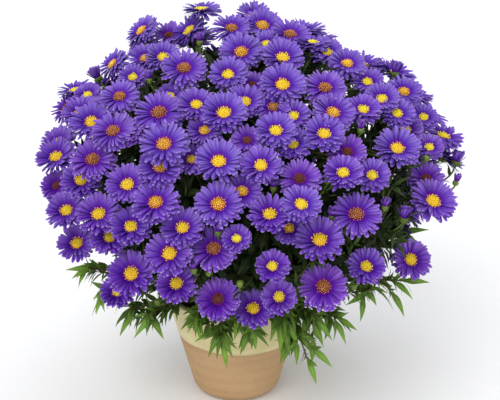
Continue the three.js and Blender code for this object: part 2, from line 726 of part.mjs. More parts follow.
// A lance-shaped leaf, sunk in its stem at the root: two edges and a keel along its midrib, arched to its
// tip. Its widest places are given as shares of its length.
function blade(root, tip, width, widest, planes) {
  const along = tip.clone().sub(root);
  const length = along.length();
  along.normalize();
  const out = new THREE.Vector3(root.x - heart.x, root.y - heart.y, 60).normalize();
  const side = new THREE.Vector3().crossVectors(out, along).normalize();
  const face = new THREE.Vector3().crossVectors(along, side);
  const points = [];
  widest.forEach((share) => {
    const middle = root.clone().addScaledVector(along, length * share)
      .addScaledVector(face, leafArch * length * share * (1 - share) * 4);
    const half = (width / 2) * (share > 0.5 ? 0.75 : 1);
    points.push(
      middle.clone().addScaledVector(side, half),
      middle.clone().addScaledVector(face, leafThickness),
      middle.clone().addScaledVector(side, -half),
    );
  });
  points.push(tip.clone());
  pullBehind(points, root, planes);
  points.push(root);
  const triangles = [];
  const last = 3 * widest.length - 3;
  for (let k = 0; k < 3; k += 1) {
    const next = (k + 1) % 3;
    triangles.push([points.length - 1, next, k], [last + k, last + next, points.length - 2]);
    for (let low = 0; low < last; low += 3) {
      triangles.push([low + k, low + next, low + 3 + k], [low + 3 + k, low + next, low + 3 + next]);
    }
  }
  return { points, solid: solidOf(points, triangles) };
}

// Leafy stems

function directionAt(degrees) {
  const angle = THREE.MathUtils.degToRad(degrees);
  return new THREE.Vector3(Math.cos(angle), Math.sin(angle), 0);
}

// The direction of a point from the heart, in degrees
function azimuthOf(point) {
  return THREE.MathUtils.radToDeg(Math.atan2(point.y - heart.y, point.x - heart.x));
}

function sectorPlanes(from, to) {
  const planes = [];
  const start = directionAt(from);
  const end = directionAt(to);
  for (const way of [new THREE.Vector3(start.y, -start.x, 0), new THREE.Vector3(-end.y, end.x, 0)]) {
    planes.push({ way, level: way.dot(heart) - clearance });
  }
  return planes;
}

function insideShell(point, planes, depth) {
  const scaled = point.clone().sub(domeCentre).divide(domeRadii.clone().subScalar(depth));
  return scaled.length() < 1 && planes.every(({ way, level }) => point.dot(way) < level);
}

// The tip of a leaf inside the shell where the blooms are: it is shortened until it is inside
function innerTip(root, along, planes) {
  const tip = root.clone().addScaledVector(along, innerLeafLength);
  for (let i = 0; i < 8 && !insideShell(tip, planes, innerShell); i += 1) tip.lerp(root, 0.12);
  return insideShell(tip, planes, innerShell) && tip.distanceTo(root) > 12 ? tip : null;
}

function stemPoint(middle, ring, height) {
  const direction = directionAt(middle);
  return new THREE.Vector3(heart.x + ring * direction.x, heart.y + ring * direction.y, height);
}

function hangingShoots() {
  const shoots = seenShoots.map(({ from, behind, tips }) => ({
    knot: behindAxis(from[0], from[1], behind),
    tips: tips.map(([x, y]) => behindAxis(x, y, behind)),
    widest: [0.36, 0.68],
  }));
  const draw = draws(23);
  stemBounds.slice(0, -1).forEach((from, i) => {
    const to = stemBounds[i + 1];
    if (to <= 10) return;
    for (const share of [0.27, 0.73]) {
      const turn = from + share * (to - from) + 4 * (draw() - 0.5);
      const knot = heart.clone().addScaledVector(directionAt(turn), hiddenShootReach + 16 * (draw() - 0.5));
      knot.z = hiddenShootHeight + 14 * (draw() - 0.5);
      const tips = [-1, 1, 0].map((swing) => {
        const way = directionAt(turn + 38 * swing + 16 * (draw() - 0.5));
        const tip = knot.clone().addScaledVector(way, 20 + 6 * draw());
        tip.z -= 16 + 16 * draw();
        return tip;
      });
      shoots.push({ knot, tips, widest: [0.42] });
    }
  });
  for (const shoot of shoots) {
    const away = new THREE.Vector3(shoot.knot.x, shoot.knot.y, 0).normalize();
    for (const tip of shoot.tips) tip.addScaledVector(away, 10 * (draw() - 0.4));
    shoot.azimuth = azimuthOf(shoot.knot);
  }
  return shoots;
}

function leafyStem(from, to, forks, shoots) {
  const planes = sectorPlanes(from, to);
  const middle = (from + to) / 2;
  const soilTop = potHeight - soilBelowRim;
  const foot = stemPoint(middle, stemRing, soilTop - stemHoleDepth + 1);
  const side = stemPoint(middle, stemRing + 5, shootHeight);
  const split = stemPoint(middle, splitRing, splitHeight);
  const low = stemPoint(middle, stemRing, soilTop + 4);
  const trunk = [foot, low, side, split];
  const trunkRadii = [stemRadius, stemRadius, stemRadius, stemRadius * 0.8];
  const solids = [];
  const pieces = [];
  let spin = from;
  forks.sort((one, other) => other.place.z - one.place.z).forEach((fork, rank) => {
    const start = rank === 0 ? split : side.clone().lerp(split, 1 - (0.75 * rank) / forks.length);
    const along = fork.place.clone().sub(start).normalize();
    const end = fork.place.clone().addScaledVector(along, -forkRadius - forkGap);
    const path = rank === 0 ? [...trunk, end] : [start, end];
    const radii = rank === 0 ? [...trunkRadii, branchEndRadius] : [branchRadius, branchEndRadius];
    solids.push(tube(path, radii));
    const frame = frameOf(along);
    for (const share of innerLeafShares) {
      spin += 137.5;
      const way = onRing(new THREE.Vector3(), frame, 0.85, THREE.MathUtils.degToRad(spin));
      const root = start.clone().lerp(end, share);
      const tip = innerTip(root, way.addScaledVector(along, 0.6).normalize(), planes);
      if (tip) solids.push(blade(root, tip, innerLeafWidth, [0.42], planes).solid);
    }
    fork.from = along;
  });
  shoots.forEach(({ knot, tips, widest }, rank) => {
    const start = low.clone().lerp(side, 1 - 0.3 * rank);
    const over = new THREE.Vector3(knot.x, knot.y, 0).normalize().multiplyScalar(rimRadius + 5);
    over.z = Math.max(potHeight + 7, shootHeight + 0.45 * (knot.z - shootHeight));
    pullBehind([over], start, planes);
    solids.push(tube([start, over, knot], [branchRadius, branchRadius, branchEndRadius]));
    pieces.push(stretchPiece(start, over, branchRadius, branchRadius));
    pieces.push(stretchPiece(over, knot, branchRadius, branchEndRadius));
    tips.forEach((tip, i) => {
      const root = knot.clone().lerp(over, (leafStep * (tips.length - 1 - i) + 0.5) / over.distanceTo(knot));
      const leaf = blade(root, tip, hangingLeafWidth, widest, planes);
      solids.push(leaf.solid);
      pieces.push(asPiece(leaf.points));
    });
  });
  return { solid: fused(solids), pieces };
}

// Pot and soil

function turned(profile) {
  return solidOfGeometry(new THREE.LatheGeometry(profile.map(([r, z]) => new THREE.Vector2(r, z)), potSides)
    .rotateX(Math.PI / 2));
}

function wallRadius(height) {
  return footRadius + ((rimRadius - footRadius) * height) / potHeight;
}

// The round foot: an arc that runs from the flat base into the sloping wall.
function footArc() {
  const slope = Math.atan((rimRadius - footRadius) / potHeight);
  const middle = wallRadius(footRound) - footRound / Math.cos(slope);
  return Array.from({ length: footSteps + 1 }, (_, i) => {
    const angle = -Math.PI / 2 + (i / footSteps) * (Math.PI / 2 - slope);
    return [middle + footRound * Math.cos(angle), footRound + footRound * Math.sin(angle)];
  });
}

function pot() {
  const inner = (height) => wallRadius(height) - potWall;
  return turned([
    [0, 0], ...footArc(), [wallRadius(potHeight - lipRound), potHeight - lipRound],
    [wallRadius(potHeight) - lipRound, potHeight], [inner(potHeight) + lipRound, potHeight],
    [inner(potHeight - lipRound), potHeight - lipRound],
    [inner(potFloor + 3), potFloor + 3], [inner(potFloor + 3) - 3, potFloor], [0, potFloor],
  ]);
}

function soil(holes) {
  const edge = (height) => wallRadius(height) - potWall - clearance;
  const top = potHeight - soilBelowRim;
  let body = turned([
    [0, potFloor + clearance], [edge(potFloor + 3) - 3.2, potFloor + clearance],
    [edge(potFloor + 3), potFloor + 3 + clearance], [edge(top - 1), top - 1], [edge(top) - 1.2, top],
    [0, top],
  ]);
  for (const hole of holes) {
    const drill = new THREE.CylinderGeometry(stemHoleRadius, stemHoleRadius, 2 * stemHoleDepth, holeSides)
      .rotateX(Math.PI / 2).translate(hole.x, hole.y, top);
    body = body.subtract(solidOfGeometry(drill));
  }
  return body;
}

// Putting the plant together

const heads = layOutHeads();
const forks = gatherSprays(heads).map((direction, i) => {
  const place = domeSurface(direction).addScaledVector(direction, -forkDepth);
  const azimuth = azimuthOf(place);
  const stem = stemBounds.findIndex((bound, k) => azimuth >= bound && azimuth < stemBounds[k + 1]);
  const [from, to] = [stemBounds[stem], stemBounds[stem + 1]];
  const planes = sectorPlanes(from, to);
  for (const plane of planes) plane.level -= forkRadius - clearance;
  pullBehind([place], stemPoint((from + to) / 2, sectorMiddle, place.z), planes);
  return { place, stem, index: i };
});

const stems = stemBounds.slice(0, -1).map((from, i) => {
  const to = stemBounds[i + 1];
  const shoots = hangingShoots().filter(({ azimuth }) => azimuth >= from && azimuth < to);
  return leafyStem(from, to, forks.filter(({ stem }) => stem === i), shoots);
});

for (const head of heads) {
  shapeHead(head);
  head.fork = forks[head.spray].place;
  head.bend = bendOf(head);
}
makeRoom(heads, [
  ...stems.flatMap(({ pieces }) => pieces),
  ...forks.map((fork) => asPiece(shapeKnob(fork).points)),
]);

const holes = stemBounds.slice(1).map((to, i) => stemPoint((stemBounds[i] + to) / 2, stemRing, 0));
const numbered = (name, i) => `${name}_${String(i + 1).padStart(2, '0')}`;
addPart('pot', pot(), 'clay');
addPart('soil', soil(holes), 'soil');
stems.forEach(({ solid }, i) => addPart(numbered('leafy_stem', i), solid, 'leaf'));
forks.forEach((fork, i) => {
  addPart(numbered('spray', i), spray(fork, heads.filter((head) => head.spray === i)), 'petal');
});

export default plant;
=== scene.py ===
# The looks of a potted aster: blooms with petals and florets, leaves, stems, soil and a half-glazed pot.
# It is laid out in millimetres, in the CAD model's frame, and its meshes are in metres.
import math

import bpy
import numpy as np
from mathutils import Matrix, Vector


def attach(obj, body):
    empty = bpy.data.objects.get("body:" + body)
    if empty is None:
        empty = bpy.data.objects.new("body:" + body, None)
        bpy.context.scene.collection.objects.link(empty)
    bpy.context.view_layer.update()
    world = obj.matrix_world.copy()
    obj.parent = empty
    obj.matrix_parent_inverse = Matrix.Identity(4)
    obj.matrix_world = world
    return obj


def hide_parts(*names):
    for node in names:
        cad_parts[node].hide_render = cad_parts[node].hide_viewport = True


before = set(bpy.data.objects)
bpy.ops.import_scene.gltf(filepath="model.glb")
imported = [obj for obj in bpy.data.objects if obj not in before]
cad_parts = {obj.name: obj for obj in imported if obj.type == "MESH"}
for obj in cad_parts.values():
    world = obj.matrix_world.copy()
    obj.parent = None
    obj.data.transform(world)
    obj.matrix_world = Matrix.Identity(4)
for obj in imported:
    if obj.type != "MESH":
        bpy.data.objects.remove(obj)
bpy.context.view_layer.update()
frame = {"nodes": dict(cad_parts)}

# The model's driving dimensions, in millimetres
MM = 0.001
POT_HEIGHT = 95
RIM_RADIUS = 62
FOOT_RADIUS = 35.5
FOOT_ROUND = 14
POT_WALL = 5.5
POT_FLOOR = 8
LIP_ROUND = 1.5
GLAZE_LINE = 56
GLAZE_TILT = (-1.65, 2.55)
GLAZE_THICKNESS = 0.35
SOIL_BELOW_RIM = 9
CLEARANCE = 0.3
SOIL_TOP = POT_HEIGHT - SOIL_BELOW_RIM

# The angle that spreads points evenly, and the turn from leaf to leaf
GOLDEN_ANGLE = math.pi * (3 - math.sqrt(5))
LEAF_TURN = math.radians(137.5)

# Seeds of the random draws: those of the layout and of the hanging shoots are the CAD model's too
LAYOUT_SEED = 7
SHOOT_SEED = 23
SOIL_SEED = 31
SPRAY_SEED = 1000
STEM_SEED = 2000

# The view that the seen blooms and leaves were measured in: a frame of 500 by 400 pixels
FRAME_CENTRE = (250, 200)
FRAME_WIDTH = 500
FOCAL_PIXELS = 1744
VIEW_ELEVATION = math.radians(20)
VIEW_DISTANCE = 1500
VIEW_TARGET = np.array([12.0, 0.0, 177.0])

# The dome that the blooms lie on, and the point that their pedicels run towards
DOME_CENTRE = np.array([13.0, 0.0, 207.0])
DOME_RADII = np.array([168.0, 168.0, 118.0])
HEART = np.array([10.0, 0.0, 160.0])
STEP_BACK = 11
FORK_DEPTH = 42
BEND_REACH = 17

# Hidden blooms and forks
HIDDEN_SPACING = 28
BUD_SPACING = 19
HIDDEN_DRAWS = 520
HIDDEN_FROM = 0.1
LOWEST_HIDDEN = 122
HIDDEN_STEPS_BACK = 1.4
HIDDEN_RADIUS = 17.5
HIDDEN_RADIUS_SPREAD = 3.5
HIDDEN_AGES = ["young", "middle", "young", "old", "middle", "dark"]
SPRAY_COUNT = 38
GATHERING_ROUNDS = 40
FORK_RADIUS = 3.3

# The way that a head faces, by its lean: the shares of outwards and of towards the front view, a lean's own
# way, and how far chance turns it
FACINGS = {
    "": (0.7, 1.25, (0, 0, 0.2), 1),
    "up": (0.35, 0, (0, 0, 1), 0),
    "left": (0.5, 0.35, (-0.7, 0, 0.5), 0),
    "hidden": (1, 0, (0, 0, 0.35), 1),
}
SHAKES = {"bloom": 0.5, "half open": 0.2, "bud": 0.4}

# Leafy stems
STEM_RADIUS = 2.6
BRANCH_RADIUS = 1.25
BRANCH_END_RADIUS = 0.95
STEM_RING = 22
SPLIT_RING = 36
SPLIT_HEIGHT = 122
SHOOT_HEIGHT = 103
STEM_HOLE_DEPTH = 24
SECTOR_MIDDLE = 70
LEAST_REACH = 0.25
STEM_BOUNDS = [-180, -153, -128, -95, -74, -50, -24, 5, 35, 65, 95, 122, 150, 180]
SEEN_SHOOTS_UP_TO = 10
HIDDEN_SHOOT_SHARES = (0.27, 0.73)
HIDDEN_SHOOT_REACH = 112
HIDDEN_SHOOT_HEIGHT = 96

# Blooms that the front view shows: the disc's centre across and down that view, the bloom's width, the age
# of its disc, how many steps it lies behind the outermost blooms, and where it faces if not outwards and
# forwards
SEEN_BLOOMS = [
    (142, 31, 37, "middle", 0, "left"), (113, 64.5, 35, "middle", 0, "left"), (146, 59, 38, "middle", 1),
    (144, 48, 30, "young", 2), (163, 58, 36, "young", 1), (133, 78, 30, "young", 2),
    (75, 91, 36, "young", 1, "up"), (66, 108, 36, "dark", 1, "left"), (81, 113, 40, "middle", 0),
    (91.6, 122.5, 44, "young", 0), (120, 97, 40, "old", 0), (159, 113, 50, "old", 0),
    (113.4, 131.6, 46, "old", 0), (128.6, 133.7, 30, "dark", 1), (201.8, 7.7, 39, "young", 0, "up"),
    (189.6, 30.8, 38, "young", 0, "left"), (169, 36, 36, "dark", 1), (231.5, 28.7, 39, "old", 0),
    (184, 68.7, 46, "old", 0), (228.2, 75.3, 40, "young", 0), (241.2, 52.7, 44, "middle", 1),
    (196.3, 105.3, 38, "young", 0), (224, 113.4, 46, "young", 0), (244.8, 102.7, 40, "young", 1),
    (164, 144.7, 50, "middle", 0), (204.8, 131, 36, "middle", 1), (160, 167.6, 44, "middle", 1),
    (218.5, 162, 48, "young", 0), (191.8, 160, 34, "middle", 2), (56.3, 157.3, 42, "young", 0),
    (58.5, 143, 36, "young", 2), (92.6, 160, 46, "old", 0), (81.3, 181, 42, "young", 1),
    (127.5, 185.2, 44, "young", 0), (57, 186, 34, "dark", 1), (170, 97, 30, "young", 2),
    (107.3, 106.8, 30, "young", 2), (88, 95.5, 28, "young", 2), (66.7, 210.8, 42, "young", 0),
    (98.8, 214.5, 45, "young", 0), (131, 227, 42, "young", 0), (77.2, 243.6, 40, "young", 0),
    (109.8, 237.6, 38, "young", 1), (155.6, 203, 48, "middle", 0), (182.8, 228.2, 44, "young", 0),
    (169.6, 254.1, 49, "young", 0), (213.7, 249, 46, "old", 1), (236.7, 239.2, 30, "young", 0),
    (218.2, 204.8, 48, "middle", 0), (131.4, 274.1, 48, "young", 0), (118, 292, 36, "young", 1),
    (176.7, 283.9, 42, "young", 0), (217.8, 299.3, 44, "dark", 0), (253.2, 309, 42, "young", 0),
    (279.1, 297.2, 36, "young", 0), (272.4, 266.8, 35, "young", 0), (323.5, 286.8, 48, "old", 0),
    (262.2, 26.2, 42, "middle", 0), (254, 12, 36, "young", 2), (290, 34.8, 42, "old", 0),
    (313.3, 43, 34, "young", 0, "up"), (327, 53, 34, "young", 1), (282.6, 58.1, 43, "young", 0),
    (266.4, 44.5, 30, "young", 2), (282.4, 85.2, 47, "young", 0), (324.9, 88.4, 44, "old", 0),
    (252, 86, 34, "dark", 2), (273.3, 107.4, 36, "old", 1), (293.4, 116.6, 36, "young", 1),
    (333, 113.2, 44, "middle", 0), (275.7, 131.4, 42, "young", 0), (324.1, 134.5, 42, "young", 0),
    (293, 145, 36, "young", 1), (347, 64.2, 37, "middle", 0), (367.3, 82.5, 34, "young", 1),
    (403.8, 92.4, 38, "middle", 0), (382, 99.6, 36, "young", 0), (363.2, 110.4, 36, "young", 0),
    (396.9, 114, 36, "young", 0), (405.2, 129.6, 36, "young", 2), (423.5, 118, 30, "young", 1),
    (443.5, 136.4, 40, "young", 0, "up"), (429, 148, 30, "young", 1), (397.1, 148.8, 47, "young", 0),
    (347, 152.5, 40, "dark", 0), (343.1, 173.6, 40, "young", 0), (371.9, 176.2, 37, "young", 0),
    (261, 166, 43, "young", 0), (299.5, 179.3, 44, "dark", 0), (301, 204.9, 41, "young", 0),
    (425.8, 179, 38, "dark", 1), (432.6, 201.5, 48, "young", 0), (356.3, 214.9, 50, "old", 0),
    (242, 191.8, 40, "middle", 1), (269.5, 214.8, 44, "young", 0), (319.7, 240.6, 49, "young", 0),
    (289, 229, 34, "middle", 1), (247, 141, 34, "dark", 1), (410.4, 260, 42, "young", 0),
    (366.1, 267, 39, "young", 0),
]

# How many millimetres nearer the front view some of these blooms stand here than their solids, so that the
# right one of two neighbours lies over the other
NEARER = {
    (301, 204.9): 9, (299.5, 179.3): -6, (343.1, 173.6): 7, (347, 152.5): -5, (432.6, 201.5): 8,
    (425.8, 179): -11, (289, 229): -7, (160, 167.6): 5, (169.6, 254.1): 5, (182.8, 228.2): -6,
}

# The low hidden blooms that the front view would still show beside the plant are tucked in among the leaves
# here, and are smaller than their solids
TUCKED_BELOW = 182
TUCKED_FROM = -0.42
TUCK = 15
TUCKED_SIZE = 0.75

# Half-open blooms and closed buds of the front view: across, down, steps behind, and the way they lean
SEEN_HALF_OPEN = [
    (97.6, 77.5, 0, "left"), (394.8, 72.3, 0, "up"), (456.8, 161.5, 0, "up"), (404.2, 218, 1, "up"),
]
SEEN_BUDS = [
    (149.6, 79, 1), (199.7, 41.2, 0), (157, 300.5, 0), (193.7, 269, 0), (360.8, 129, 0), (239.9, 282.5, 0),
    (327.6, 179, 1), (208.9, 271.4, 1), (273.5, 187, 1), (331.5, 216, 1), (354, 284.8, 0), (385, 206.4, 1),
    (426.6, 157, 0), (456, 181.5, 0), (218, 231.4, 1),
]

# Leafy shoots that hang over the rim: where their leaves spring from across and down the front view, how far
# behind (+) or in front (-) of the pot's axis they hang, and the tips of their leaves in that view
SEEN_SHOOTS = [
    ((88, 268), -36, [(66, 270), (70.5, 279), (79, 289)]),
    ((102.5, 289), -50, [(92, 299.6), (92.5, 315.5), (108, 312)]),
    ((131, 308), -62, [(116, 337.8), (120, 320.7), (134, 326)]),
    ((149, 314), -75, [(137, 337.5), (147, 328), (162.6, 340), (167.5, 334)]),
    ((196.4, 316), -82, [(202.4, 338), (186, 330)]),
    ((220.8, 334), -88, [(193.7, 344), (208.4, 356.5), (226.8, 370.6), (232.8, 357.6)]),
    ((252, 328), -90, [(239.3, 353.2), (256, 350)]),
    ((300, 336), -84, [(275.6, 362), (285, 364), (296.7, 366), (313.5, 382.5), (330, 366)]),
    ((337, 318), -72, [(327.6, 341), (343.8, 344), (352.8, 329)]),
    ((370, 290), -58, [(362, 322.3), (377.4, 306), (350, 306)]),
    ((392, 280), -44, [(400.5, 316.4), (425.4, 282), (412, 300)]),
    ((403, 231), -14, [(425, 229.7), (421, 244), (401, 248)]),
]

# Shoots that only this script adds, to fill in the leaves in front of the rim
MORE_SHOOTS = [
    ((284, 316), -88, [(271, 343), (279, 353), (290, 357), (299, 348)]),
    ((314, 314), -82, [(304, 348), (321, 346), (333, 341), (310, 362)]),
    ((240, 318), -88, [(234, 338), (246, 342)]),
]


def draws(seed):
    """Seeded draws between 0 and 1 that come out the same on every machine."""
    state = seed
    while True:
        state = (state * 1664525 + 1013904223) % 4294967296
        yield state / 4294967296


def unit(way):
    return way / np.linalg.norm(way, axis=-1, keepdims=True)


# The view

LOOK_ACROSS = np.array([1.0, 0.0, 0.0])
LOOK_UP = np.array([0.0, math.sin(VIEW_ELEVATION), math.cos(VIEW_ELEVATION)])
LOOK_IN = np.array([0.0, math.cos(VIEW_ELEVATION), -math.sin(VIEW_ELEVATION)])
EYE = VIEW_TARGET - LOOK_IN * VIEW_DISTANCE
UP = np.array([0.0, 0.0, 1.0])


def sight_line(x, y):
    """The way from the eye through a pixel, one unit long along the line of sight."""
    across = (x - FRAME_CENTRE[0]) / FOCAL_PIXELS
    up = (FRAME_CENTRE[1] - y) / FOCAL_PIXELS
    return LOOK_IN + LOOK_ACROSS * across + LOOK_UP * up


def on_dome(x, y, steps):
    """Where the sight line meets the dome, or passes it closest, and its distance along the line of sight."""
    line = sight_line(x, y)
    start = (EYE - DOME_CENTRE) / DOME_RADII
    way = line / DOME_RADII
    squared = way @ way
    across = start @ way
    root = math.sqrt(max(0, across * across - squared * (start @ start - 1)))
    reach = (-across - root) / squared + steps * STEP_BACK
    return EYE + line * reach, reach


def behind_axis(x, y, depth):
    line = sight_line(x, y)
    return EYE + line * ((depth - EYE[1]) / line[1])


def outwards(place):
    return unit((place - DOME_CENTRE) / DOME_RADII / DOME_RADII)


def dome_surface(direction):
    """Where the line from the heart in one direction leaves the dome."""
    start = (HEART - DOME_CENTRE) / DOME_RADII
    way = direction / DOME_RADII
    squared = way @ way
    across = start @ way
    reach = (-across + math.sqrt(across * across - squared * (start @ start - 1))) / squared
    return HEART + direction * reach


# The layout of the blooms, as in the CAD model but for the tucked ones


class Head:
    """A bloom, half-open bloom or bud: its place, the way it faces, and its size and age."""

    def __init__(self, kind, place, facing, turn, radius=0.0, age="", lean=""):
        self.kind, self.place, self.facing, self.turn = kind, place, facing, turn
        self.radius, self.age, self.lean = radius, age, lean
        self.direction = unit(place - HEART)
        self.nearer = 0


def facing_of(place, lean, shake):
    outward_share, view_share, pull, chance = FACINGS[lean]
    way = outwards(place) * outward_share + unit(EYE - place) * view_share + np.array(pull)
    return unit(way + shake * chance)


def swing(draw, size):
    """A draw spread evenly about zero."""
    return size * (next(draw) - 0.5)


def shaking(draw, kind):
    return np.array([swing(draw, SHAKES[kind]) for _ in range(3)])


def spiral(count):
    """Ways spread evenly over a sphere, from its top to its bottom."""
    for i in range(count):
        rise = 1 - (2 * (i + 0.5)) / count
        ring = math.sqrt(1 - rise * rise)
        yield np.array([ring * math.cos(i * GOLDEN_ANGLE), ring * math.sin(i * GOLDEN_ANGLE), rise])


def seen_heads(draw):
    heads = []
    for x, y, width, age, steps, *lean in SEEN_BLOOMS:
        place, reach = on_dome(x, y, steps)
        lean = lean[0] if lean else ""
        facing = facing_of(place, lean, shaking(draw, "bloom"))
        heads.append(Head("bloom", place, facing, next(draw), width / 2 * reach / FOCAL_PIXELS, age, lean))
        heads[-1].nearer = NEARER.get((x, y), 0)
    buds = [("bud", x, y, steps, "up") for x, y, steps in SEEN_BUDS]
    for kind, x, y, steps, lean in [("half open", *seen) for seen in SEEN_HALF_OPEN] + buds:
        place = on_dome(x, y, steps)[0]
        heads.append(Head(kind, place, facing_of(place, lean, shaking(draw, kind)), next(draw)))
    return heads


def lay_out_heads():
    """The seen heads, and then a spiral of blooms over the rest of the dome."""
    draw = draws(LAYOUT_SEED)
    heads = seen_heads(draw)
    seen = len(heads)
    for way in spiral(HIDDEN_DRAWS):
        place = way * DOME_RADII + DOME_CENTRE
        out = outwards(place)
        if out @ unit(EYE - place) > HIDDEN_FROM or place[2] < LOWEST_HIDDEN:
            continue
        spacing = [HIDDEN_SPACING if head.kind == "bloom" else BUD_SPACING for head in heads]
        if any(np.linalg.norm(head.place - place) < room for head, room in zip(heads, spacing)):
            continue
        facing = facing_of(place, "hidden", shaking(draw, "bloom"))
        place = place - out * (next(draw) * HIDDEN_STEPS_BACK * STEP_BACK)
        radius = HIDDEN_RADIUS + HIDDEN_RADIUS_SPREAD * next(draw)
        age = HIDDEN_AGES[int(next(draw) * len(HIDDEN_AGES))]
        heads.append(Head("bloom", place, facing, next(draw), radius, age))
    for head in heads[seen:]:
        out = outwards(head.place)
        if head.place[2] < TUCKED_BELOW and out @ unit(EYE - head.place) > TUCKED_FROM:
            head.place = head.place - out * TUCK
            head.radius = head.radius * TUCKED_SIZE
    return heads


def gather_sprays(heads):
    """The ways of the forks: each head joins the nearest, and they move to the middle of their heads."""
    ways = np.array([head.direction for head in heads])
    forks = np.array([ways[int((i + 0.5) * len(heads) / SPRAY_COUNT)] for i in range(SPRAY_COUNT)])
    for i in range(GATHERING_ROUNDS):
        nearest = np.argmin(np.linalg.norm(ways[:, None] - forks[None], axis=2), axis=1)
        if i < GATHERING_ROUNDS - 1:
            forks = np.array([unit(ways[nearest == k].sum(axis=0)) for k in range(SPRAY_COUNT)])
    for head, k in zip(heads, nearest):
        head.spray = int(k) + 1
    return forks


def direction_at(degrees):
    angle = math.radians(degrees)
    return np.array([math.cos(angle), math.sin(angle), 0.0])


def stem_of(place):
    """The number of the leafy stem that a place belongs to, by its direction from the heart."""
    azimuth = math.degrees(math.atan2(place[1] - HEART[1], place[0] - HEART[0]))
    return sum(azimuth >= bound for bound in STEM_BOUNDS[:-1])


def stem_point(middle, ring, height):
    place = HEART + direction_at(middle) * ring
    place[2] = height
    return place


def sector_planes(low, high):
    """The two upright planes through the heart that a leafy stem stays between, as ways and levels."""
    start, end = direction_at(low), direction_at(high)
    ways = [np.array([start[1], -start[0], 0.0]), np.array([-end[1], end[0], 0.0])]
    return [(way, way @ HEART - CLEARANCE) for way in ways]


def pulled_behind(point, root, planes):
    """A point that lies past a plane goes back along the line to the root."""
    share = 1.0
    for way, level in planes:
        far, near = point @ way, root @ way
        if far > level and far > near:
            share = min(share, max(LEAST_REACH, (level - near) / (far - near)))
    return root + (point - root) * share


class Fork:
    """Where a branch ends and a spray's pedicels begin."""

    def __init__(self, direction):
        place = dome_surface(direction) - direction * FORK_DEPTH
        self.stem = stem_of(place)
        low, high = STEM_BOUNDS[self.stem - 1 : self.stem + 1]
        planes = [(way, level - FORK_RADIUS + CLEARANCE) for way, level in sector_planes(low, high)]
        self.place = pulled_behind(place, stem_point((low + high) / 2, SECTOR_MIDDLE, place[2]), planes)


# Shapes that repeat, each modelled once and then copied


def drawn_up(sides, stations):
    """A closed form drawn up from a flat face. A station is a half width, half depth and height, or a radius
    and a height."""
    stations = [(station[0], station[-2], station[-1]) for station in stations]
    bpy.ops.object.select_all(action="DESELECT")
    bpy.ops.mesh.primitive_circle_add(vertices=sides, radius=1, fill_type="NGON")
    form = bpy.context.object
    bpy.ops.object.mode_set(mode="EDIT")
    bpy.ops.mesh.select_all(action="SELECT")
    wide, deep, height = stations[0]
    bpy.ops.transform.resize(value=(wide, deep, 1), center_override=(0, 0, 0))
    bpy.ops.transform.translate(value=(0, 0, height))
    for before, (wide, deep, height) in zip(stations, stations[1:]):
        bpy.ops.mesh.extrude_region_move(TRANSFORM_OT_translate={"value": (0, 0, height - before[2])})
        narrowing = (wide / before[0], deep / before[1], 1)
        bpy.ops.transform.resize(value=narrowing, center_override=(0, 0, height))
    bpy.ops.mesh.select_all(action="SELECT")
    bpy.ops.mesh.normals_make_consistent(inside=False)
    bpy.ops.object.mode_set(mode="OBJECT")
    return form


def smoothed(piece, sharp):
    """The piece, smooth but for its edges sharper than so many degrees."""
    bpy.ops.object.select_all(action="DESELECT")
    piece.select_set(True)
    bpy.context.view_layer.objects.active = piece
    bpy.ops.object.shade_smooth_by_angle(angle=math.radians(sharp))
    return piece


def read_all(items, field, width, kind):
    values = np.empty(len(items) * width, dtype=kind)
    items.foreach_get(field, values)
    return values.reshape(-1, width) if width > 1 else values


class Form:
    """A modelled shape as numbers to copy: its points, the corners of its faces and each face's count."""

    def __init__(self, sides, stations):
        modelled = drawn_up(sides, stations)
        mesh = modelled.data
        self.points = read_all(mesh.vertices, "co", 3, np.float32).astype(float)
        self.corners = read_all(mesh.loops, "vertex_index", 1, np.int32)
        self.counts = read_all(mesh.polygons, "loop_total", 1, np.int32)
        self.across, self.depth, self.along = self.points.T
        bpy.data.objects.remove(modelled)


def spread(form):
    """Across and along a form, each from 0 to 1, for its pattern."""
    across = np.where(np.abs(form.across) < 1e-4, 0.5, 0.5 + 0.5 * np.sign(form.across))
    return np.stack([across, form.along], axis=1)


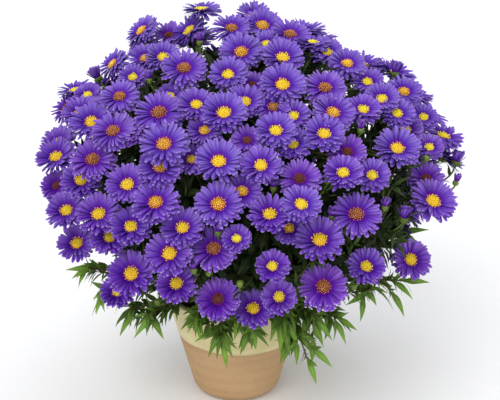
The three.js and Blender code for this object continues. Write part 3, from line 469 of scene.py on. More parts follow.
class Growth:
    """A piece as it grows: points in millimetres, faces, and their materials, pattern places and tones."""

    def __init__(self):
        self.points, self.corners, self.counts = [], [], []
        self.materials, self.patterns, self.tones = [], [], []
        self.total = 0

    def add(self, form, points, material, pattern, tones):
        """Copies of a form: points is copies by points by 3, tones has three numbers for each copy."""
        copies, size = points.shape[:2]
        steps = self.total + np.arange(copies) * size
        self.points.append(points.reshape(-1, 3))
        self.corners.append((form.corners[None] + steps[:, None]).ravel())
        self.counts.append(np.tile(form.counts, copies))
        self.materials.append(np.full(copies * len(form.counts), material))
        self.patterns.append(np.broadcast_to(pattern, (copies, size, 2)).reshape(-1, 2))
        self.tones.append(np.repeat(np.broadcast_to(tones, (copies, 3)), size, axis=0))
        self.total += copies * size

    def made(self, name, materials, sharp=50):
        """The grown piece as an object."""
        mesh = bpy.data.meshes.new(name)
        points, corners = np.concatenate(self.points) * MM, np.concatenate(self.corners)
        counts = np.concatenate(self.counts)
        mesh.vertices.add(len(points))
        mesh.vertices.foreach_set("co", points.astype(np.float32).ravel())
        mesh.loops.add(len(corners))
        mesh.loops.foreach_set("vertex_index", corners.astype(np.int32))
        mesh.polygons.add(len(counts))
        mesh.polygons.foreach_set("loop_start", (np.cumsum(counts) - counts).astype(np.int32))
        mesh.polygons.foreach_set("material_index", np.concatenate(self.materials).astype(np.int32))
        mesh.update(calc_edges=True)
        layer = mesh.uv_layers.new(name="form")
        layer.data.foreach_set("uv", np.concatenate(self.patterns)[corners].astype(np.float32).ravel())
        tones = np.concatenate([np.concatenate(self.tones), np.ones((len(points), 1))], axis=1)
        attribute = mesh.attributes.new("tone", "FLOAT_COLOR", "POINT")
        attribute.data.foreach_set("color", tones.astype(np.float32).ravel())
        for material in materials:
            mesh.materials.append(material)
        piece = bpy.data.objects.new(name, mesh)
        bpy.context.collection.objects.link(piece)
        return smoothed(piece, sharp)


def frame_of(direction):
    """Two ways square to a direction and to each other."""
    guide = UP if abs(direction[2]) < 0.9 else LOOK_ACROSS
    side = unit(np.cross(guide, direction))
    return side, np.cross(direction, side)


def turned(angle, frame):
    """Ways at angles round the direction that a frame is square to."""
    return np.cos(angle)[:, None] * frame[0] + np.sin(angle)[:, None] * frame[1]


def around(way, rng, count, lean):
    """Ways that lean out from one way at even turns round it, with a little chance."""
    angle = rng.uniform(0, 2 * math.pi) + np.arange(count) * LEAF_TURN
    lean = np.radians(lean + rng.normal(0, LEAN_SPREAD, count))[:, None]
    return unit(way * np.cos(lean) + turned(angle, frame_of(way)) * np.sin(lean))


def tones_of(first, second=0.0, third=0.0):
    return np.stack(np.broadcast_arrays(first, second, third), axis=1)


def leaf_tones(rng, count, light):
    chance = rng.uniform(0, 1, count)
    # The second tone is the leaf's painted light, with some random change
    return tones_of(chance, light * rng.uniform(0.6, 1.15, count))


def add_upright(growth, form, head, base, radius, height, material, pattern, tones):
    """A round form that stands on the base of a head."""
    side, up = head.frame
    points = base + radius * (form.across[:, None] * side + form.depth[:, None] * up)
    points = points + head.facing * (form.along * height)[:, None]
    growth.add(form, points[None], material, pattern, tones)


def smooth_path(stops, count):
    """Points at even steps along a smooth line through its stops."""
    stops = np.array(stops)
    ends = np.concatenate([[2 * stops[0] - stops[1]], stops, [2 * stops[-1] - stops[-2]]])
    points = []
    for share in np.linspace(0, len(stops) - 1, count):
        k = min(int(share), len(stops) - 2)
        t = share - k
        a, b, c, d = ends[k : k + 4]
        points.append(0.5 * (
            2 * b + (c - a) * t + (2 * a - 5 * b + 4 * c - d) * t * t + (3 * b - a - 3 * c + d) * t ** 3
        ))
    return np.array(points)


def add_tube(growth, form, stops, radii, material, tone):
    """A round form bent along a smooth line through its stops, as wide as the radii at its two ends say."""
    rings = np.unique(np.round(form.along, 5))
    line = smooth_path(stops, len(rings))
    ways = unit(np.gradient(line, axis=0))
    side = frame_of(ways[0])[0]
    sides, rises = [], []
    for way in ways:
        side = unit(side - way * (side @ way))
        sides.append(side)
        rises.append(np.cross(way, side))
    ring = np.searchsorted(rings, np.round(form.along, 5))
    radius = (radii[0] + (radii[1] - radii[0]) * form.along)[:, None]
    points = line[ring] + radius * (
        np.array(sides)[ring] * form.across[:, None] + np.array(rises)[ring] * form.depth[:, None]
    )
    turn = np.arctan2(form.depth, form.across) / (2 * math.pi) + 0.5
    growth.add(form, points[None], material, np.stack([turn, form.along], axis=1), tone)


def add_leaves(growth, form, roots, tips, faces, widths, material, tones, arch=0.1, twist=0.0):
    """Leaves from their roots to their tips, arched towards the way that their upper sides face."""
    roots, tips, faces = (np.array(values)[:, None] for values in (roots, tips, faces))
    span = tips - roots
    length = np.linalg.norm(span, axis=2, keepdims=True)
    side = unit(np.cross(faces, span))
    face = np.cross(span / length, side)
    along = form.along[None, :, None]
    turn = np.broadcast_to(np.array(twist).reshape(-1, 1, 1), (len(roots), 1, 1)) * along
    lateral = side * np.cos(turn) + face * np.sin(turn)
    upward = face * np.cos(turn) - side * np.sin(turn)
    half = np.array(widths).reshape(-1, 1, 1) / 2
    across, depth = form.across[None, :, None], form.depth[None, :, None]
    points = roots + span * along + face * length * (arch * 4 * along * (1 - along))
    points = points + lateral * (half * across) + upward * (half * (depth + LEAF_FOLD * np.abs(across)))
    growth.add(form, points, material, spread(form), tones)


def make_forms():
    """The forms by name, each with its sides and its stations from the bottom up."""
    return {
        "petal": Form(3, [
            (0.36, 0.5, 0), (0.74, 1.4, 0.2), (1.0, 2.2, 0.45), (1.14, 2.0, 0.73), (0.92, 1.2, 0.91),
            (0.4, 0.5, 1),
        ]),
        "low petal": Form(3, [
            (0.45, 0.6, 0), (0.95, 1.1, 0.34), (1.15, 1.2, 0.7), (0.94, 0.8, 0.91), (0.38, 0.4, 1),
        ]),
        "floret": Form(4, [(0.62, 0), (1, 0.72), (0.45, 1)]),
        "dome": Form(12, [(math.cos(math.asin(rise)), rise) for rise in (0, 0.35, 0.62, 0.82, 0.95)]),
        "cup": Form(10, [(0.2, 0), (0.62, 0.18), (0.9, 0.5), (1, 0.85), (0.86, 1)]),
        "scale": Form(3, [(0.8, 0.4, 0), (1.1, 0.35, 0.4), (0.1, 0.1, 1)]),
        "small leaf": Form(3, [(0.3, 0.2, 0), (1.0, 0.14, 0.33), (0.8, 0.1, 0.62), (0.05, 0.04, 1)]),
        "leaf": Form(4, [
            (0.14, 0.16, 0), (0.45, 0.13, 0.12), (0.92, 0.11, 0.28), (1.0, 0.1, 0.42), (0.7, 0.08, 0.63),
            (0.32, 0.05, 0.83), (0.03, 0.02, 1),
        ]),
        "inner leaf": Form(3, [
            (0.3, 0.2, 0), (0.9, 0.16, 0.22), (1.15, 0.14, 0.45), (0.7, 0.1, 0.76), (0.05, 0.03, 1),
        ]),
        "knot": Form(6, [(0.55, 0), (0.95, 0.3), (0.9, 0.65), (0.4, 1)]),
        "stalk": Form(5, [(1, share) for share in np.linspace(0, 1, 9)]),
        "branch": Form(6, [(1, share) for share in np.linspace(0, 1, 13)]),
        "trunk": Form(10, [(1, share) for share in np.linspace(0, 1, 15)]),
    }


# Blooms

PETAL, DISC, GREEN = 0, 1, 5

# Discs by age, for a bloom of the common radius, and how much more than the bloom they grow and shrink
DISC_RADIUS = {"young": 6.1, "middle": 6.0, "old": 5.5, "dark": 4.7}
DISC_HEIGHT = {"young": 2.2, "middle": 2.7, "old": 3.2, "dark": 3.0}
COMMON_RADIUS = 20
DISC_GROWTH = 1.2
FLORETS = 50

# The painted light of a bloom's petals, painted lighter higher up the dome where more light falls, and how
# mauve they are: at the middle height, over how many millimetres that changes fully, and how far chance
# changes it
MIDDLE_HEIGHT = 215
MIDDLE_PAINTED_LIGHT = 0.54
PAINTED_LIGHT_REACH = 480
PAINTED_LIGHT_SPREAD = 0.15
TINTS = {"young": 0.35, "middle": 0.3, "old": 0.6, "dark": 0.75}
TINT_REACH = 320
TINT_SPREAD = 0.2

# The cups of the three kinds of heads: radius, height, their bottom along the way that the head faces, and
# how light they are. Then their two rows of scales: how many, how high they start and how far they reach
CUPS = {"bloom": (4.3, 4.6, -5.0, 0.4), "half open": (3.4, 5.2, -4.6, 0.4), "bud": (2.3, 5.0, -4.4, 0.8)}
CUP_SCALES = [(8, 0.15, 1.25), (9, 0.4, 1.5)]
STALK_BOTTOMS = {"bloom": -5.0, "half open": -4.5, "bud": -4.5}
STALK_RADII = (0.85, 0.75)
STALK_LEAVES = 5

# How much further up the blooms face here than their solids, less so at the top of the dome, how much further
# towards the front view those with a lean of their own face, which fades for the upright ones at the top, and
# the room above the highest petals
UPTURN = 0.75
TOP_SHARE = 0.2
EYE_TURN = 0.15
EYE_TURN_FADE = 4
TOP_ROOM = 3.2

# The layers of a bloom's petals, from the lowest: how many, their share of the bloom's radius, the height of
# their roots, the angle that they rise at and the angle that they bend down by, by the age of the bloom
LAYERS = {
    "young": [(20, 1.06, -0.9, 8, 10), (27, 1.06, -0.2, 22, 12), (32, 1.05, 0.4, 36, 17)],
    "middle": [(20, 1.08, -1.0, 3, 10), (27, 1.06, -0.3, 18, 14), (32, 1.04, 0.3, 32, 18)],
    "old": [(20, 1.08, -1.1, -3, 14), (27, 1.05, -0.4, 12, 20), (31, 1.03, 0.2, 26, 26)],
    "dark": [(20, 1.08, -1.1, -1, 12), (27, 1.05, -0.4, 16, 16), (31, 1.02, 0.2, 32, 20)],
}
LAYER_WIDTHS = [4.2, 3.6, 3.05]
LEAN_FALL = {"": 0, "up": 15, "left": 10}
PETAL_ROOT = 0.8
PETAL_THICKNESS = 0.3

# The petals of half-open blooms and buds: each layer with its petals' width, root and radius, their tint, and
# the share of the buds that are still all green
CLOSED_LAYERS = {
    "half open": [((12, 1.0, -0.4, 74, 4), 3.2, 2.2, 12.5), ((12, 0.94, 0.2, 84, 6), 3.2, 2.2, 12.5)],
    "bud": [((9, 1.0, 0.2, 78, 4), 3.2, 1.6, 8.6), ((6, 0.95, 0.3, 92, 8), 2.6, 0.9, 8.2)],
}
CLOSED_TINTS = {"half open": 0.5, "bud": 0.8}
GREEN_BUDS = 0.25

# How petals vary: turn, length, rise, bend and the least bend, roll, sway and width
PETAL_TURN = 0.2
PETAL_LENGTHS = (0.9, 1.06)
PETAL_RISE = 4.5
PETAL_BEND = 7
LEAST_BEND = 3
PETAL_ROLL = (13, 9)
PETAL_SWAY = 0.06
PETAL_WIDTHS = (0.82, 1.08)


def add_petals(growth, form, head, rng, layer, width, root, radius, tint):
    """One layer of petals round a head, paler on the side that the sky lights."""
    count, reach, height, rise, drop = layer
    shift = rng.uniform(-PETAL_TURN, PETAL_TURN, count)
    out = turned(2 * math.pi * (head.turn + (np.arange(count) + shift) / count), head.frame)
    tangent = np.cross(head.facing, out)
    length = (radius - root) * reach * rng.uniform(*PETAL_LENGTHS, count)[:, None]
    start = np.radians(rise + rng.normal(0, PETAL_RISE, count) + 3 * (-1) ** np.arange(count))[:, None]
    bend = np.radians(np.maximum(drop + rng.normal(0, PETAL_BEND, count), LEAST_BEND))[:, None]
    roll = np.radians(rng.normal(*PETAL_ROLL, count))[:, None]
    sway = rng.normal(0, PETAL_SWAY, count)[:, None]
    half = width / 2 * rng.uniform(*PETAL_WIDTHS, count)[:, None] * (0.7 + 0.3 * radius / 19)
    along, across, depth = form.along[None], form.across[None], form.depth[None]
    slope = start - bend * along
    outward = root + length * (np.sin(start) - np.sin(slope)) / bend
    raised = height + length * (np.cos(slope) - np.cos(start)) / bend
    normal = head.facing * np.cos(slope)[..., None] - out[:, None] * np.sin(slope)[..., None]
    lateral = tangent[:, None] * np.cos(roll)[..., None] + normal * np.sin(roll)[..., None]
    points = head.place + out[:, None] * outward[..., None] + head.facing * raised[..., None]
    points = points + lateral * (half * across)[..., None] + normal * (depth * PETAL_THICKNESS / 2)[..., None]
    points = points + tangent[:, None] * (sway * length * along ** 2)[..., None]
    # Painted light: petals on the upper side of a head are painted lighter and those below it deeper, on top
    # of the head's own painted light
    light = np.clip(head.light + 0.55 * out[:, 2], 0, 1)
    growth.add(form, points, PETAL, spread(form), tones_of(rng.uniform(0, 1, count), tint, light))


def add_disc(growth, forms, head, rng):
    """The disc of a bloom: a dome with florets in a spiral, the open ones taller at its edge."""
    side, up = head.frame
    top = DISC_HEIGHT[head.age] * head.size
    wide = DISC_RADIUS[head.age] * head.size
    base = head.place + head.facing * 0.3
    material = DISC + list(LAYERS).index(head.age)
    # The dome under the florets takes their dark foot colour, as painted shade between them
    add_upright(growth, forms["dome"], head, base, wide * 0.93, top * 0.9, material, [0.6, 0.1], [0.3, 0, 0])
    order = np.arange(FLORETS)
    share = np.sqrt((order + 0.5) / FLORETS)
    reach = wide * share * rng.uniform(0.95, 1.04, FLORETS)
    out = turned(order * GOLDEN_ANGLE + head.turn * 6, head.frame)
    root = base + out * reach[:, None] + head.facing * (top * (1 - share ** 2) * 0.9 - 0.3)[:, None]
    lean = share * 0.8 + rng.normal(0, 0.12, FLORETS)
    way = unit(head.facing * np.cos(lean)[:, None] + out * np.sin(lean)[:, None])
    across = unit(np.cross(way, head.facing + 0.01 * up + 0.02 * side))
    rise = np.cross(way, across)
    rim = np.clip((share - 0.62) / 0.3, 0, 1)
    tall = (1.0 + (1.0 if head.age == "young" else 0.7) * rim) * rng.uniform(0.75, 1.3, FLORETS)
    thick = rng.uniform(0.5, 0.72, FLORETS)
    form = forms["floret"]
    points = root[:, None] + way[:, None] * (form.along[None] * tall[:, None])[..., None]
    points = points + across[:, None] * (form.across[None] * thick[:, None])[..., None]
    points = points + rise[:, None] * (form.depth[None] * thick[:, None])[..., None]
    pattern = np.stack(np.broadcast_arrays(share[:, None], form.along[None]), axis=2)
    growth.add(form, points, material, pattern, tones_of(rng.uniform(0, 1, FLORETS)))


def add_cup(growth, forms, head, rng):
    """The green cup under a head, with two rows of pointed scales."""
    radius, height, bottom, light = CUPS[head.kind]
    base = head.place + head.facing * bottom
    add_upright(growth, forms["cup"], head, base, radius, height, GREEN, [0.5, 0.4], [0.4, light, 0.5])
    for count, low, reach in CUP_SCALES:
        out = turned(2 * math.pi * (np.arange(count) / count + low) + rng.normal(0, 0.1, count), head.frame)
        roots = base + out * radius * 0.8 + head.facing * (height * low)
        tips = base + out * radius * reach + head.facing * (height * (low + 0.62))
        widths = np.full(count, radius * 0.42)
        tones = tones_of(rng.uniform(0, 1, count), light + 0.2)
        add_leaves(growth, forms["scale"], roots, tips, out - head.facing * 0.4, widths, GREEN, tones)


def bend_of(head, fork):
    """Where a stalk bends from the way that its head faces towards its fork, with its turns the slightest."""
    foot = head.place - head.facing * 3
    room = np.linalg.norm(foot - fork)
    home = unit(foot - fork)
    best, bend = -math.inf, foot
    for facing_share in (0.4, 0.8, 1.4, 2):
        for home_share in (0, 0.6, 1.2):
            back = unit(head.facing * facing_share + head.direction + home * home_share)
            tried = foot - back * min(BEND_REACH, 0.5 * room)
            turn = min(back @ head.facing, unit(tried - fork) @ back)
            if turn > best:
                best, bend = turn, tried
    return bend


def add_stalk(growth, forms, head, fork, rng):
    """A head's stalk, with a few small leaves on it."""
    end = head.place + head.facing * STALK_BOTTOMS[head.kind]
    stops = [fork, bend_of(head, fork), end]
    add_tube(growth, forms["stalk"], stops, STALK_RADII, GREEN, [0.5, 0.45, 0])
    spots = smooth_path(stops, 24)[5:18:3]
    ways = around(unit(end - fork), rng, STALK_LEAVES, 48)
    lengths = rng.uniform(0.75, 1.1, (STALK_LEAVES, 1)) * np.linspace(14, 8, STALK_LEAVES)[:, None]
    tips = spots + ways * lengths
    # The small leaves under the blooms get little painted light, as painted shade
    tones = leaf_tones(rng, STALK_LEAVES, 0.1)
    add_leaves(growth, forms["small leaf"], spots - ways * 0.3, tips, ways + UP, 2.6 + lengths[:, 0] * 0.1,
               GREEN, tones, arch=0.08)


def add_closed(growth, forms, head, rng):
    """A half-open bloom or a bud: petals that stand up in their cup."""
    add_cup(growth, forms, head, rng)
    if head.kind == "half open" or head.turn > GREEN_BUDS:
        for layer, width, root, radius in CLOSED_LAYERS[head.kind]:
            add_petals(growth, forms["petal"], head, rng, layer, width, root, radius, CLOSED_TINTS[head.kind])


def add_bloom(growth, forms, head, rng):
    """An open bloom: its cup, three layers of petals and its disc."""
    head.size = (head.radius / COMMON_RADIUS) ** DISC_GROWTH
    root = DISC_RADIUS[head.age] * head.size * PETAL_ROOT
    tint = TINTS[head.age] + rng.uniform(-TINT_SPREAD, TINT_SPREAD)
    tint = float(np.clip(tint + (MIDDLE_HEIGHT - head.place[2]) / TINT_REACH, 0, 1))
    add_cup(growth, forms, head, rng)
    for layer, width, form in zip(LAYERS[head.age], LAYER_WIDTHS, ("low petal", "petal", "petal")):
        count, reach, height, rise, drop = layer
        layer = (count, reach, height, rise - LEAN_FALL[head.lean], drop)
        add_petals(growth, forms[form], head, rng, layer, width, root, head.radius, tint)
    add_disc(growth, forms, head, rng)


def turned_further(head):
    """The way that a head faces here."""
    level = outwards(head.place)[2]
    if head.lean == "up":
        return unit(head.facing + unit(EYE - head.place) * EYE_TURN * min(1, EYE_TURN_FADE * (1 - level)))
    if head.lean == "left":
        return unit(head.facing + unit(EYE - head.place) * EYE_TURN)
    return unit(head.facing + UP * UPTURN * (1 - TOP_SHARE * max(level, 0)))


def lowering(head):
    """How far a head stands below its solid here, so that the front view holds its upper petals."""
    off = head.place - EYE
    frame_top = FRAME_CENTRE[1] / FOCAL_PIXELS * (off @ LOOK_IN)
    petal_top = off @ LOOK_UP + head.radius * math.sqrt(1 - (head.facing @ LOOK_UP) ** 2)
    return max(petal_top + TOP_ROOM - frame_top, 0)


def make_spray(number, fork, heads, forms, materials):
    """The blooms, half-open blooms and buds that grow from one fork, with their stalks."""
    rng = np.random.default_rng(SPRAY_SEED + number)
    growth = Growth()
    knot = forms["knot"]
    points = fork.place + 2.0 * knot.points - UP
    growth.add(knot, points[None], GREEN, [0.5, 0.4], [0.4, 0.4, 0])
    for head in heads:
        head.facing = turned_further(head)
        head.place = head.place + unit(EYE - head.place) * head.nearer - UP * lowering(head)
        head.frame = frame_of(head.facing)
        # Painted light: heads higher on the dome are painted lighter, with some random change
        light = MIDDLE_PAINTED_LIGHT + (head.place[2] - MIDDLE_HEIGHT) / PAINTED_LIGHT_REACH
        head.light = float(np.clip(light + rng.uniform(-PAINTED_LIGHT_SPREAD, PAINTED_LIGHT_SPREAD), 0, 1))
        add_stalk(growth, forms, head, fork.place, rng)
        (add_bloom if head.kind == "bloom" else add_closed)(growth, forms, head, rng)
    piece = growth.made(f"blooms_{number:02d}", materials)
    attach(piece, "root")
    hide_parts(f"spray_{number:02d}")


# Leafy stems

LEAF, BARK = 0, 1

# Leaves: how far apart they spring along a branch, how long and wide they are, how much they fold along their
# midrib, and how far chance leans them
INNER_LEAF_STEP = 3.4
INNER_LEAF_LENGTHS = (24, 38)
OUTER_LEAF_STEP = 4.2
OUTER_LEAF_LENGTHS = (11, 24)
TIP_LEAF_LENGTHS = (23, 32)
TIP_LEAF_WIDTHS = (5.2, 6.8)
LEAF_FOLD = 0.22
LEAN_SPREAD = 9

# The upper end of a stem, and the twigs of a hanging shoot
STEM_END_RADIUS = STEM_RADIUS * 0.8
TWIG_RADII = (0.8, 0.7)
TWIG_SHARES = (0.1, 0.3, 0.5, 0.7, 0.88)
TWIG_SPREAD = 3.5

# Side shoots: how many the spiral draws, the height of the lowest, how far from the nearest bloom one stands
# in the open, and how deep it then ends and otherwise
SIDE_SHOOTS = 420
LOWEST_SIDE_SHOOT = 108
OPEN_FROM = 0.11
OPEN_DEPTH = 20
COVERED_DEPTH = 31

# Side shoots are painted lighter below this height, more so the lower they are, as painted light; higher up
# they are painted dark, as painted shade
LIT_BELOW = 135
LIT_REACH = 60
LEAST_LIT, MOST_LIT = 0.04, 0.5


def hanging_shoots():
    """Where each hanging shoot ends, and the tips of its leaves."""
    shoots, more = [
        [
            [behind_axis(*start, behind), [behind_axis(*tip, behind) for tip in tips]]
            for start, behind, tips in table
        ] for table in (SEEN_SHOOTS, MORE_SHOOTS)
    ]
    draw = draws(SHOOT_SEED)
    for low, high in zip(STEM_BOUNDS, STEM_BOUNDS[1:]):
        for share in HIDDEN_SHOOT_SHARES if high > SEEN_SHOOTS_UP_TO else ():
            turn = low + share * (high - low) + swing(draw, 4)
            knot = HEART + direction_at(turn) * (HIDDEN_SHOOT_REACH + swing(draw, 16))
            knot[2] = HIDDEN_SHOOT_HEIGHT + swing(draw, 14)
            tips = []
            for side in (-1, 1, 0):
                way = direction_at(turn + 38 * side + swing(draw, 16))
                tip = knot + way * (20 + 6 * next(draw))
                tip[2] -= 16 + 16 * next(draw)
                tips.append(tip)
            shoots.append([knot, tips])
    shoots += more
    for knot, tips in shoots:
        away = unit(np.array([knot[0], knot[1], 0.0]))
        tips[:] = [tip + away * (10 * (next(draw) - 0.4)) for tip in tips]
    return shoots


def side_shoots(heads):
    """Leafy side shoots under the blooms: where each ends, the way it points, and if it is in the open."""
    ways = np.array([head.direction for head in heads])
    shoots = []
    for way in spiral(SIDE_SHOOTS):
        place = dome_surface(way)
        if place[2] >= LOWEST_SIDE_SHOOT:
            in_open = np.min(np.linalg.norm(ways - way, axis=1)) > OPEN_FROM
            shoots.append((place - way * (OPEN_DEPTH if in_open else COVERED_DEPTH), way, in_open))
    return shoots


def add_rosette(growth, form, place, way, rng, count, lengths, light, droop=0.0, breadth=1.0, step=1.8):
    """Leaves that spring round the end of a shoot."""
    ways = around(way, rng, count, 52)
    length = rng.uniform(*lengths, count)[:, None]
    roots = place - way * (np.arange(count)[:, None] * step)
    tips = roots + ways * length - UP * droop * length
    widths = (1.9 + 0.145 * length[:, 0]) * breadth
    add_leaves(growth, form, roots - ways * 0.4, tips, way + UP * 0.6 + ways * 0.1, widths, LEAF,
               leaf_tones(rng, count, light), arch=0.09, twist=rng.normal(0, 0.25, count))


def add_branch(growth, forms, leaf, stops, radii, rng, leaves_from, light, bark, step, lengths):
    """A branch with leaves at even turns along it."""
    add_tube(growth, forms["branch"], stops, radii, BARK, [0.5, bark, 0])
    line = smooth_path(stops, 60)
    reach = np.linalg.norm(np.diff(line, axis=0), axis=1).sum()
    count = max(int(reach * (1 - leaves_from) / step), 2)
    spots = line[(np.linspace(leaves_from, 0.97, count) * 59).astype(int)]
    way = unit(np.array(stops[-1]) - np.array(stops[-2]))
    ways = around(way, rng, count, 50)
    length = rng.uniform(*lengths, count)[:, None]
    faces = np.tile(way + UP * 0.5, (count, 1))
    widths = 2.4 + (0.15 if leaf == "leaf" else 0.2) * length[:, 0]
    add_leaves(growth, forms[leaf], spots - ways * 0.4, spots + ways * length, faces, widths, LEAF,
               leaf_tones(rng, count, light), arch=0.08, twist=rng.normal(0, 0.3, count))


def add_twig(growth, forms, start, rise, end, bark):
    """A thin twig, raised at its middle."""
    add_tube(growth, forms["stalk"], [start, (start + end) / 2 + rise, end], TWIG_RADII, BARK, [0.5, bark, 0])


def add_tip_leaves(growth, forms, knot, over, tips, out, rng):
    """The long leaves at the end of a hanging shoot. Far ones grow from twigs with small leaves."""
    roots, faces = [], []
    for rank, tip in enumerate(tips):
        start = knot + unit(over - knot) * (3.5 * (len(tips) - 1 - rank) + 0.5)
        way = unit(tip - start)
        reach = np.linalg.norm(tip - start)
        length = min(reach, rng.uniform(*TIP_LEAF_LENGTHS))
        root = tip - way * length
        if reach - length > 3:
            add_twig(growth, forms, start, out, root, 0.8)
            add_rosette(growth, forms["small leaf"], root, way, rng, 6, (7, 16), 0.85, droop=0.1)
        roots.append(root)
        to_eye = unit(EYE - tip)
        faces.append(unit(out + to_eye * max(to_eye @ out + 0.5, 0)))
    widths = rng.uniform(*TIP_LEAF_WIDTHS, len(tips))
    add_leaves(growth, forms["leaf"], roots, tips, faces, widths, LEAF, leaf_tones(rng, len(tips), 1.0),
               twist=rng.normal(0, 0.2, len(tips)))


def make_leafy_stem(number, forks, shoots, fillers, forms, materials):
    """A stem with its branches, leaves, hanging shoots and side shoots."""
    rng = np.random.default_rng(STEM_SEED + number)
    growth = Growth()
    low_bound, high_bound = STEM_BOUNDS[number - 1 : number + 1]
    middle = (low_bound + high_bound) / 2
    planes = sector_planes(low_bound, high_bound)
    foot = stem_point(middle, STEM_RING, SOIL_TOP - STEM_HOLE_DEPTH + 1)
    low = stem_point(middle, STEM_RING, SOIL_TOP + 4)
    side = stem_point(middle, STEM_RING + 5, SHOOT_HEIGHT)
    split = stem_point(middle, SPLIT_RING, SPLIT_HEIGHT)
    radii = (STEM_RADIUS, STEM_END_RADIUS)
    add_tube(growth, forms["trunk"], [foot, low, side, split], radii, BARK, [0.5, 0, 0])
    # Painted shade and light: leaves of the inner branches are painted dark, those of the hanging shoots and
    # their tips lighter
    for rank, fork in enumerate(sorted(forks, key=lambda fork: -fork.place[2])):
        start = split if rank == 0 else side + (split - side) * (1 - 0.75 * rank / len(forks))
        radii = (BRANCH_RADIUS if rank else STEM_END_RADIUS, BRANCH_END_RADIUS)
        stops = [start, (start + fork.place) / 2 + UP * 3, fork.place]
        add_branch(growth, forms, "inner leaf", stops, radii, rng, 0.12, 0.08, 0.5, INNER_LEAF_STEP,
                   INNER_LEAF_LENGTHS)
    for rank, (knot, tips) in enumerate(shoots):
        start = low + (side - low) * (1 - 0.3 * rank)
        over = unit(np.array([knot[0], knot[1], 0.0])) * (RIM_RADIUS + 5)
        over[2] = max(POT_HEIGHT + 7, SHOOT_HEIGHT + 0.45 * (knot[2] - SHOOT_HEIGHT))
        over = pulled_behind(over, start, planes)
        stops, radii = [start, over, knot], (BRANCH_RADIUS, BRANCH_END_RADIUS)
        add_branch(growth, forms, "leaf", stops, radii, rng, 0.42, 0.5, 0.3, OUTER_LEAF_STEP,
                   OUTER_LEAF_LENGTHS)
        out = unit(np.array([knot[0] - HEART[0], knot[1] - HEART[1], 60.0]))
        way = unit(knot - over)
        add_tip_leaves(growth, forms, knot, over, tips, out, rng)
        add_rosette(growth, forms["leaf"], knot, way, rng, 8, (9, 20), 0.75, droop=0.35, breadth=0.85)
        for share in TWIG_SHARES:
            twig = over + (knot - over) * share + rng.normal(0, TWIG_SPREAD, 3)
            tilt = unit(way + out * 0.5)
            add_rosette(growth, forms["small leaf"], twig, tilt, rng, 6, (9, 19), 0.62, droop=0.35)
    joints = np.array([fork.place for fork in forks] + [side, split])
    for place, way, in_open in fillers:
        start = joints[np.argmin(np.linalg.norm(joints - place, axis=1))]
        add_twig(growth, forms, start, UP * 2, place, 0.6)
        # Painted light: lower side shoots and those in the open are painted lighter
        light = float(np.clip((LIT_BELOW - place[2]) / LIT_REACH, LEAST_LIT, MOST_LIT))
        if in_open:
            end = place + way * 3
            add_rosette(growth, forms["small leaf"], end, way, rng, 13, (9, 18), light + 0.22, step=2.4)
        else:
            add_rosette(growth, forms["inner leaf"], place, way, rng, 9, (17, 26), light, breadth=1.35)
    piece = growth.made(f"foliage_{number:02d}", materials)
    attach(piece, "root")
    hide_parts(f"leafy_stem_{number:02d}")


# Pot and soil

# The pot's sides and rings, the edge of its glaze, how far the glaze reaches down inside, how that edge waves
# (how far, how often and from where), and how far below the rim its tilt fades out
POT_SIDES = 128
FOOT_RINGS = 10
WALL_RINGS = 12
LIP_RINGS = 9
INNER_RINGS = 8
GLAZE_EDGE = 0.12
GLAZED_INSIDE = 14
GLAZE_WAVES = [(0.25, 5, 0), (0.2, 11, 1)]
TILT_FADE = 6

# The soil's rings, how deep its sloping edge is, and its loose crumbs: how many, how large and which material
SOIL_SIDES = 96
SOIL_RINGS = 22
SOIL_EDGE = 1
CRUMBS = [(260, (0.5, 1.5), 0), (40, (0.5, 1.1), 1)]


def wall_radius(height):
    return FOOT_RADIUS + (RIM_RADIUS - FOOT_RADIUS) * height / POT_HEIGHT


def arc(centre, radius, start, end, count):
    """Radius and height along an arc, from one angle to another in degrees."""
    angles = np.radians(np.linspace(start, end, count))
    return [(centre[0] + radius * math.cos(a), centre[1] + radius * math.sin(a)) for a in angles]


def turned_up(name, outline, sides=POT_SIDES):
    """A closed turned form: a round face extruded along an outline of radii and heights, in millimetres."""
    form = drawn_up(sides, [(radius * MM, height * MM) for radius, height in outline])
    form.name = form.data.name = name
    return smoothed(form, 35)


def foot_arc():
    """The round foot, from the flat base into the sloping wall."""
    slope = math.atan((RIM_RADIUS - FOOT_RADIUS) / POT_HEIGHT)
    middle = wall_radius(FOOT_ROUND) - FOOT_ROUND / math.cos(slope)
    return arc((middle, FOOT_ROUND), FOOT_ROUND, -90, -math.degrees(slope), FOOT_RINGS)


def glaze_line(x, y):
    """How high the glaze ends on one side of the pot, because it was dipped at a slight tilt."""
    turn = np.arctan2(y, x)
    wave = sum(size * np.sin(count * turn + start) for size, count, start in GLAZE_WAVES)
    return GLAZE_LINE + (GLAZE_TILT[0] * x + GLAZE_TILT[1] * y) / np.maximum(np.hypot(x, y), 1e-6) + wave


def tilt_glaze_line(pot):
    """Slides the rings of the outer wall up or down the wall, most of all where the glaze ends."""
    points = read_all(pot.data.vertices, "co", 3, np.float32).astype(float) / MM
    x, y, height = points.T
    on_wall = np.abs(np.hypot(x, y) - wall_radius(height)) < 1
    span = np.where(height < GLAZE_LINE, GLAZE_LINE - FOOT_ROUND, POT_HEIGHT - TILT_FADE - GLAZE_LINE)
    share = np.clip(1 - np.abs(height - GLAZE_LINE) / span, 0, 1)
    moved = height + np.where(on_wall, share * (glaze_line(x, y) - GLAZE_LINE), 0)
    wider = np.where(on_wall, wall_radius(moved) / wall_radius(height), 1)
    points = np.stack([x * wider, y * wider, moved], axis=1) * MM
    pot.data.vertices.foreach_set("co", points.astype(np.float32).ravel())


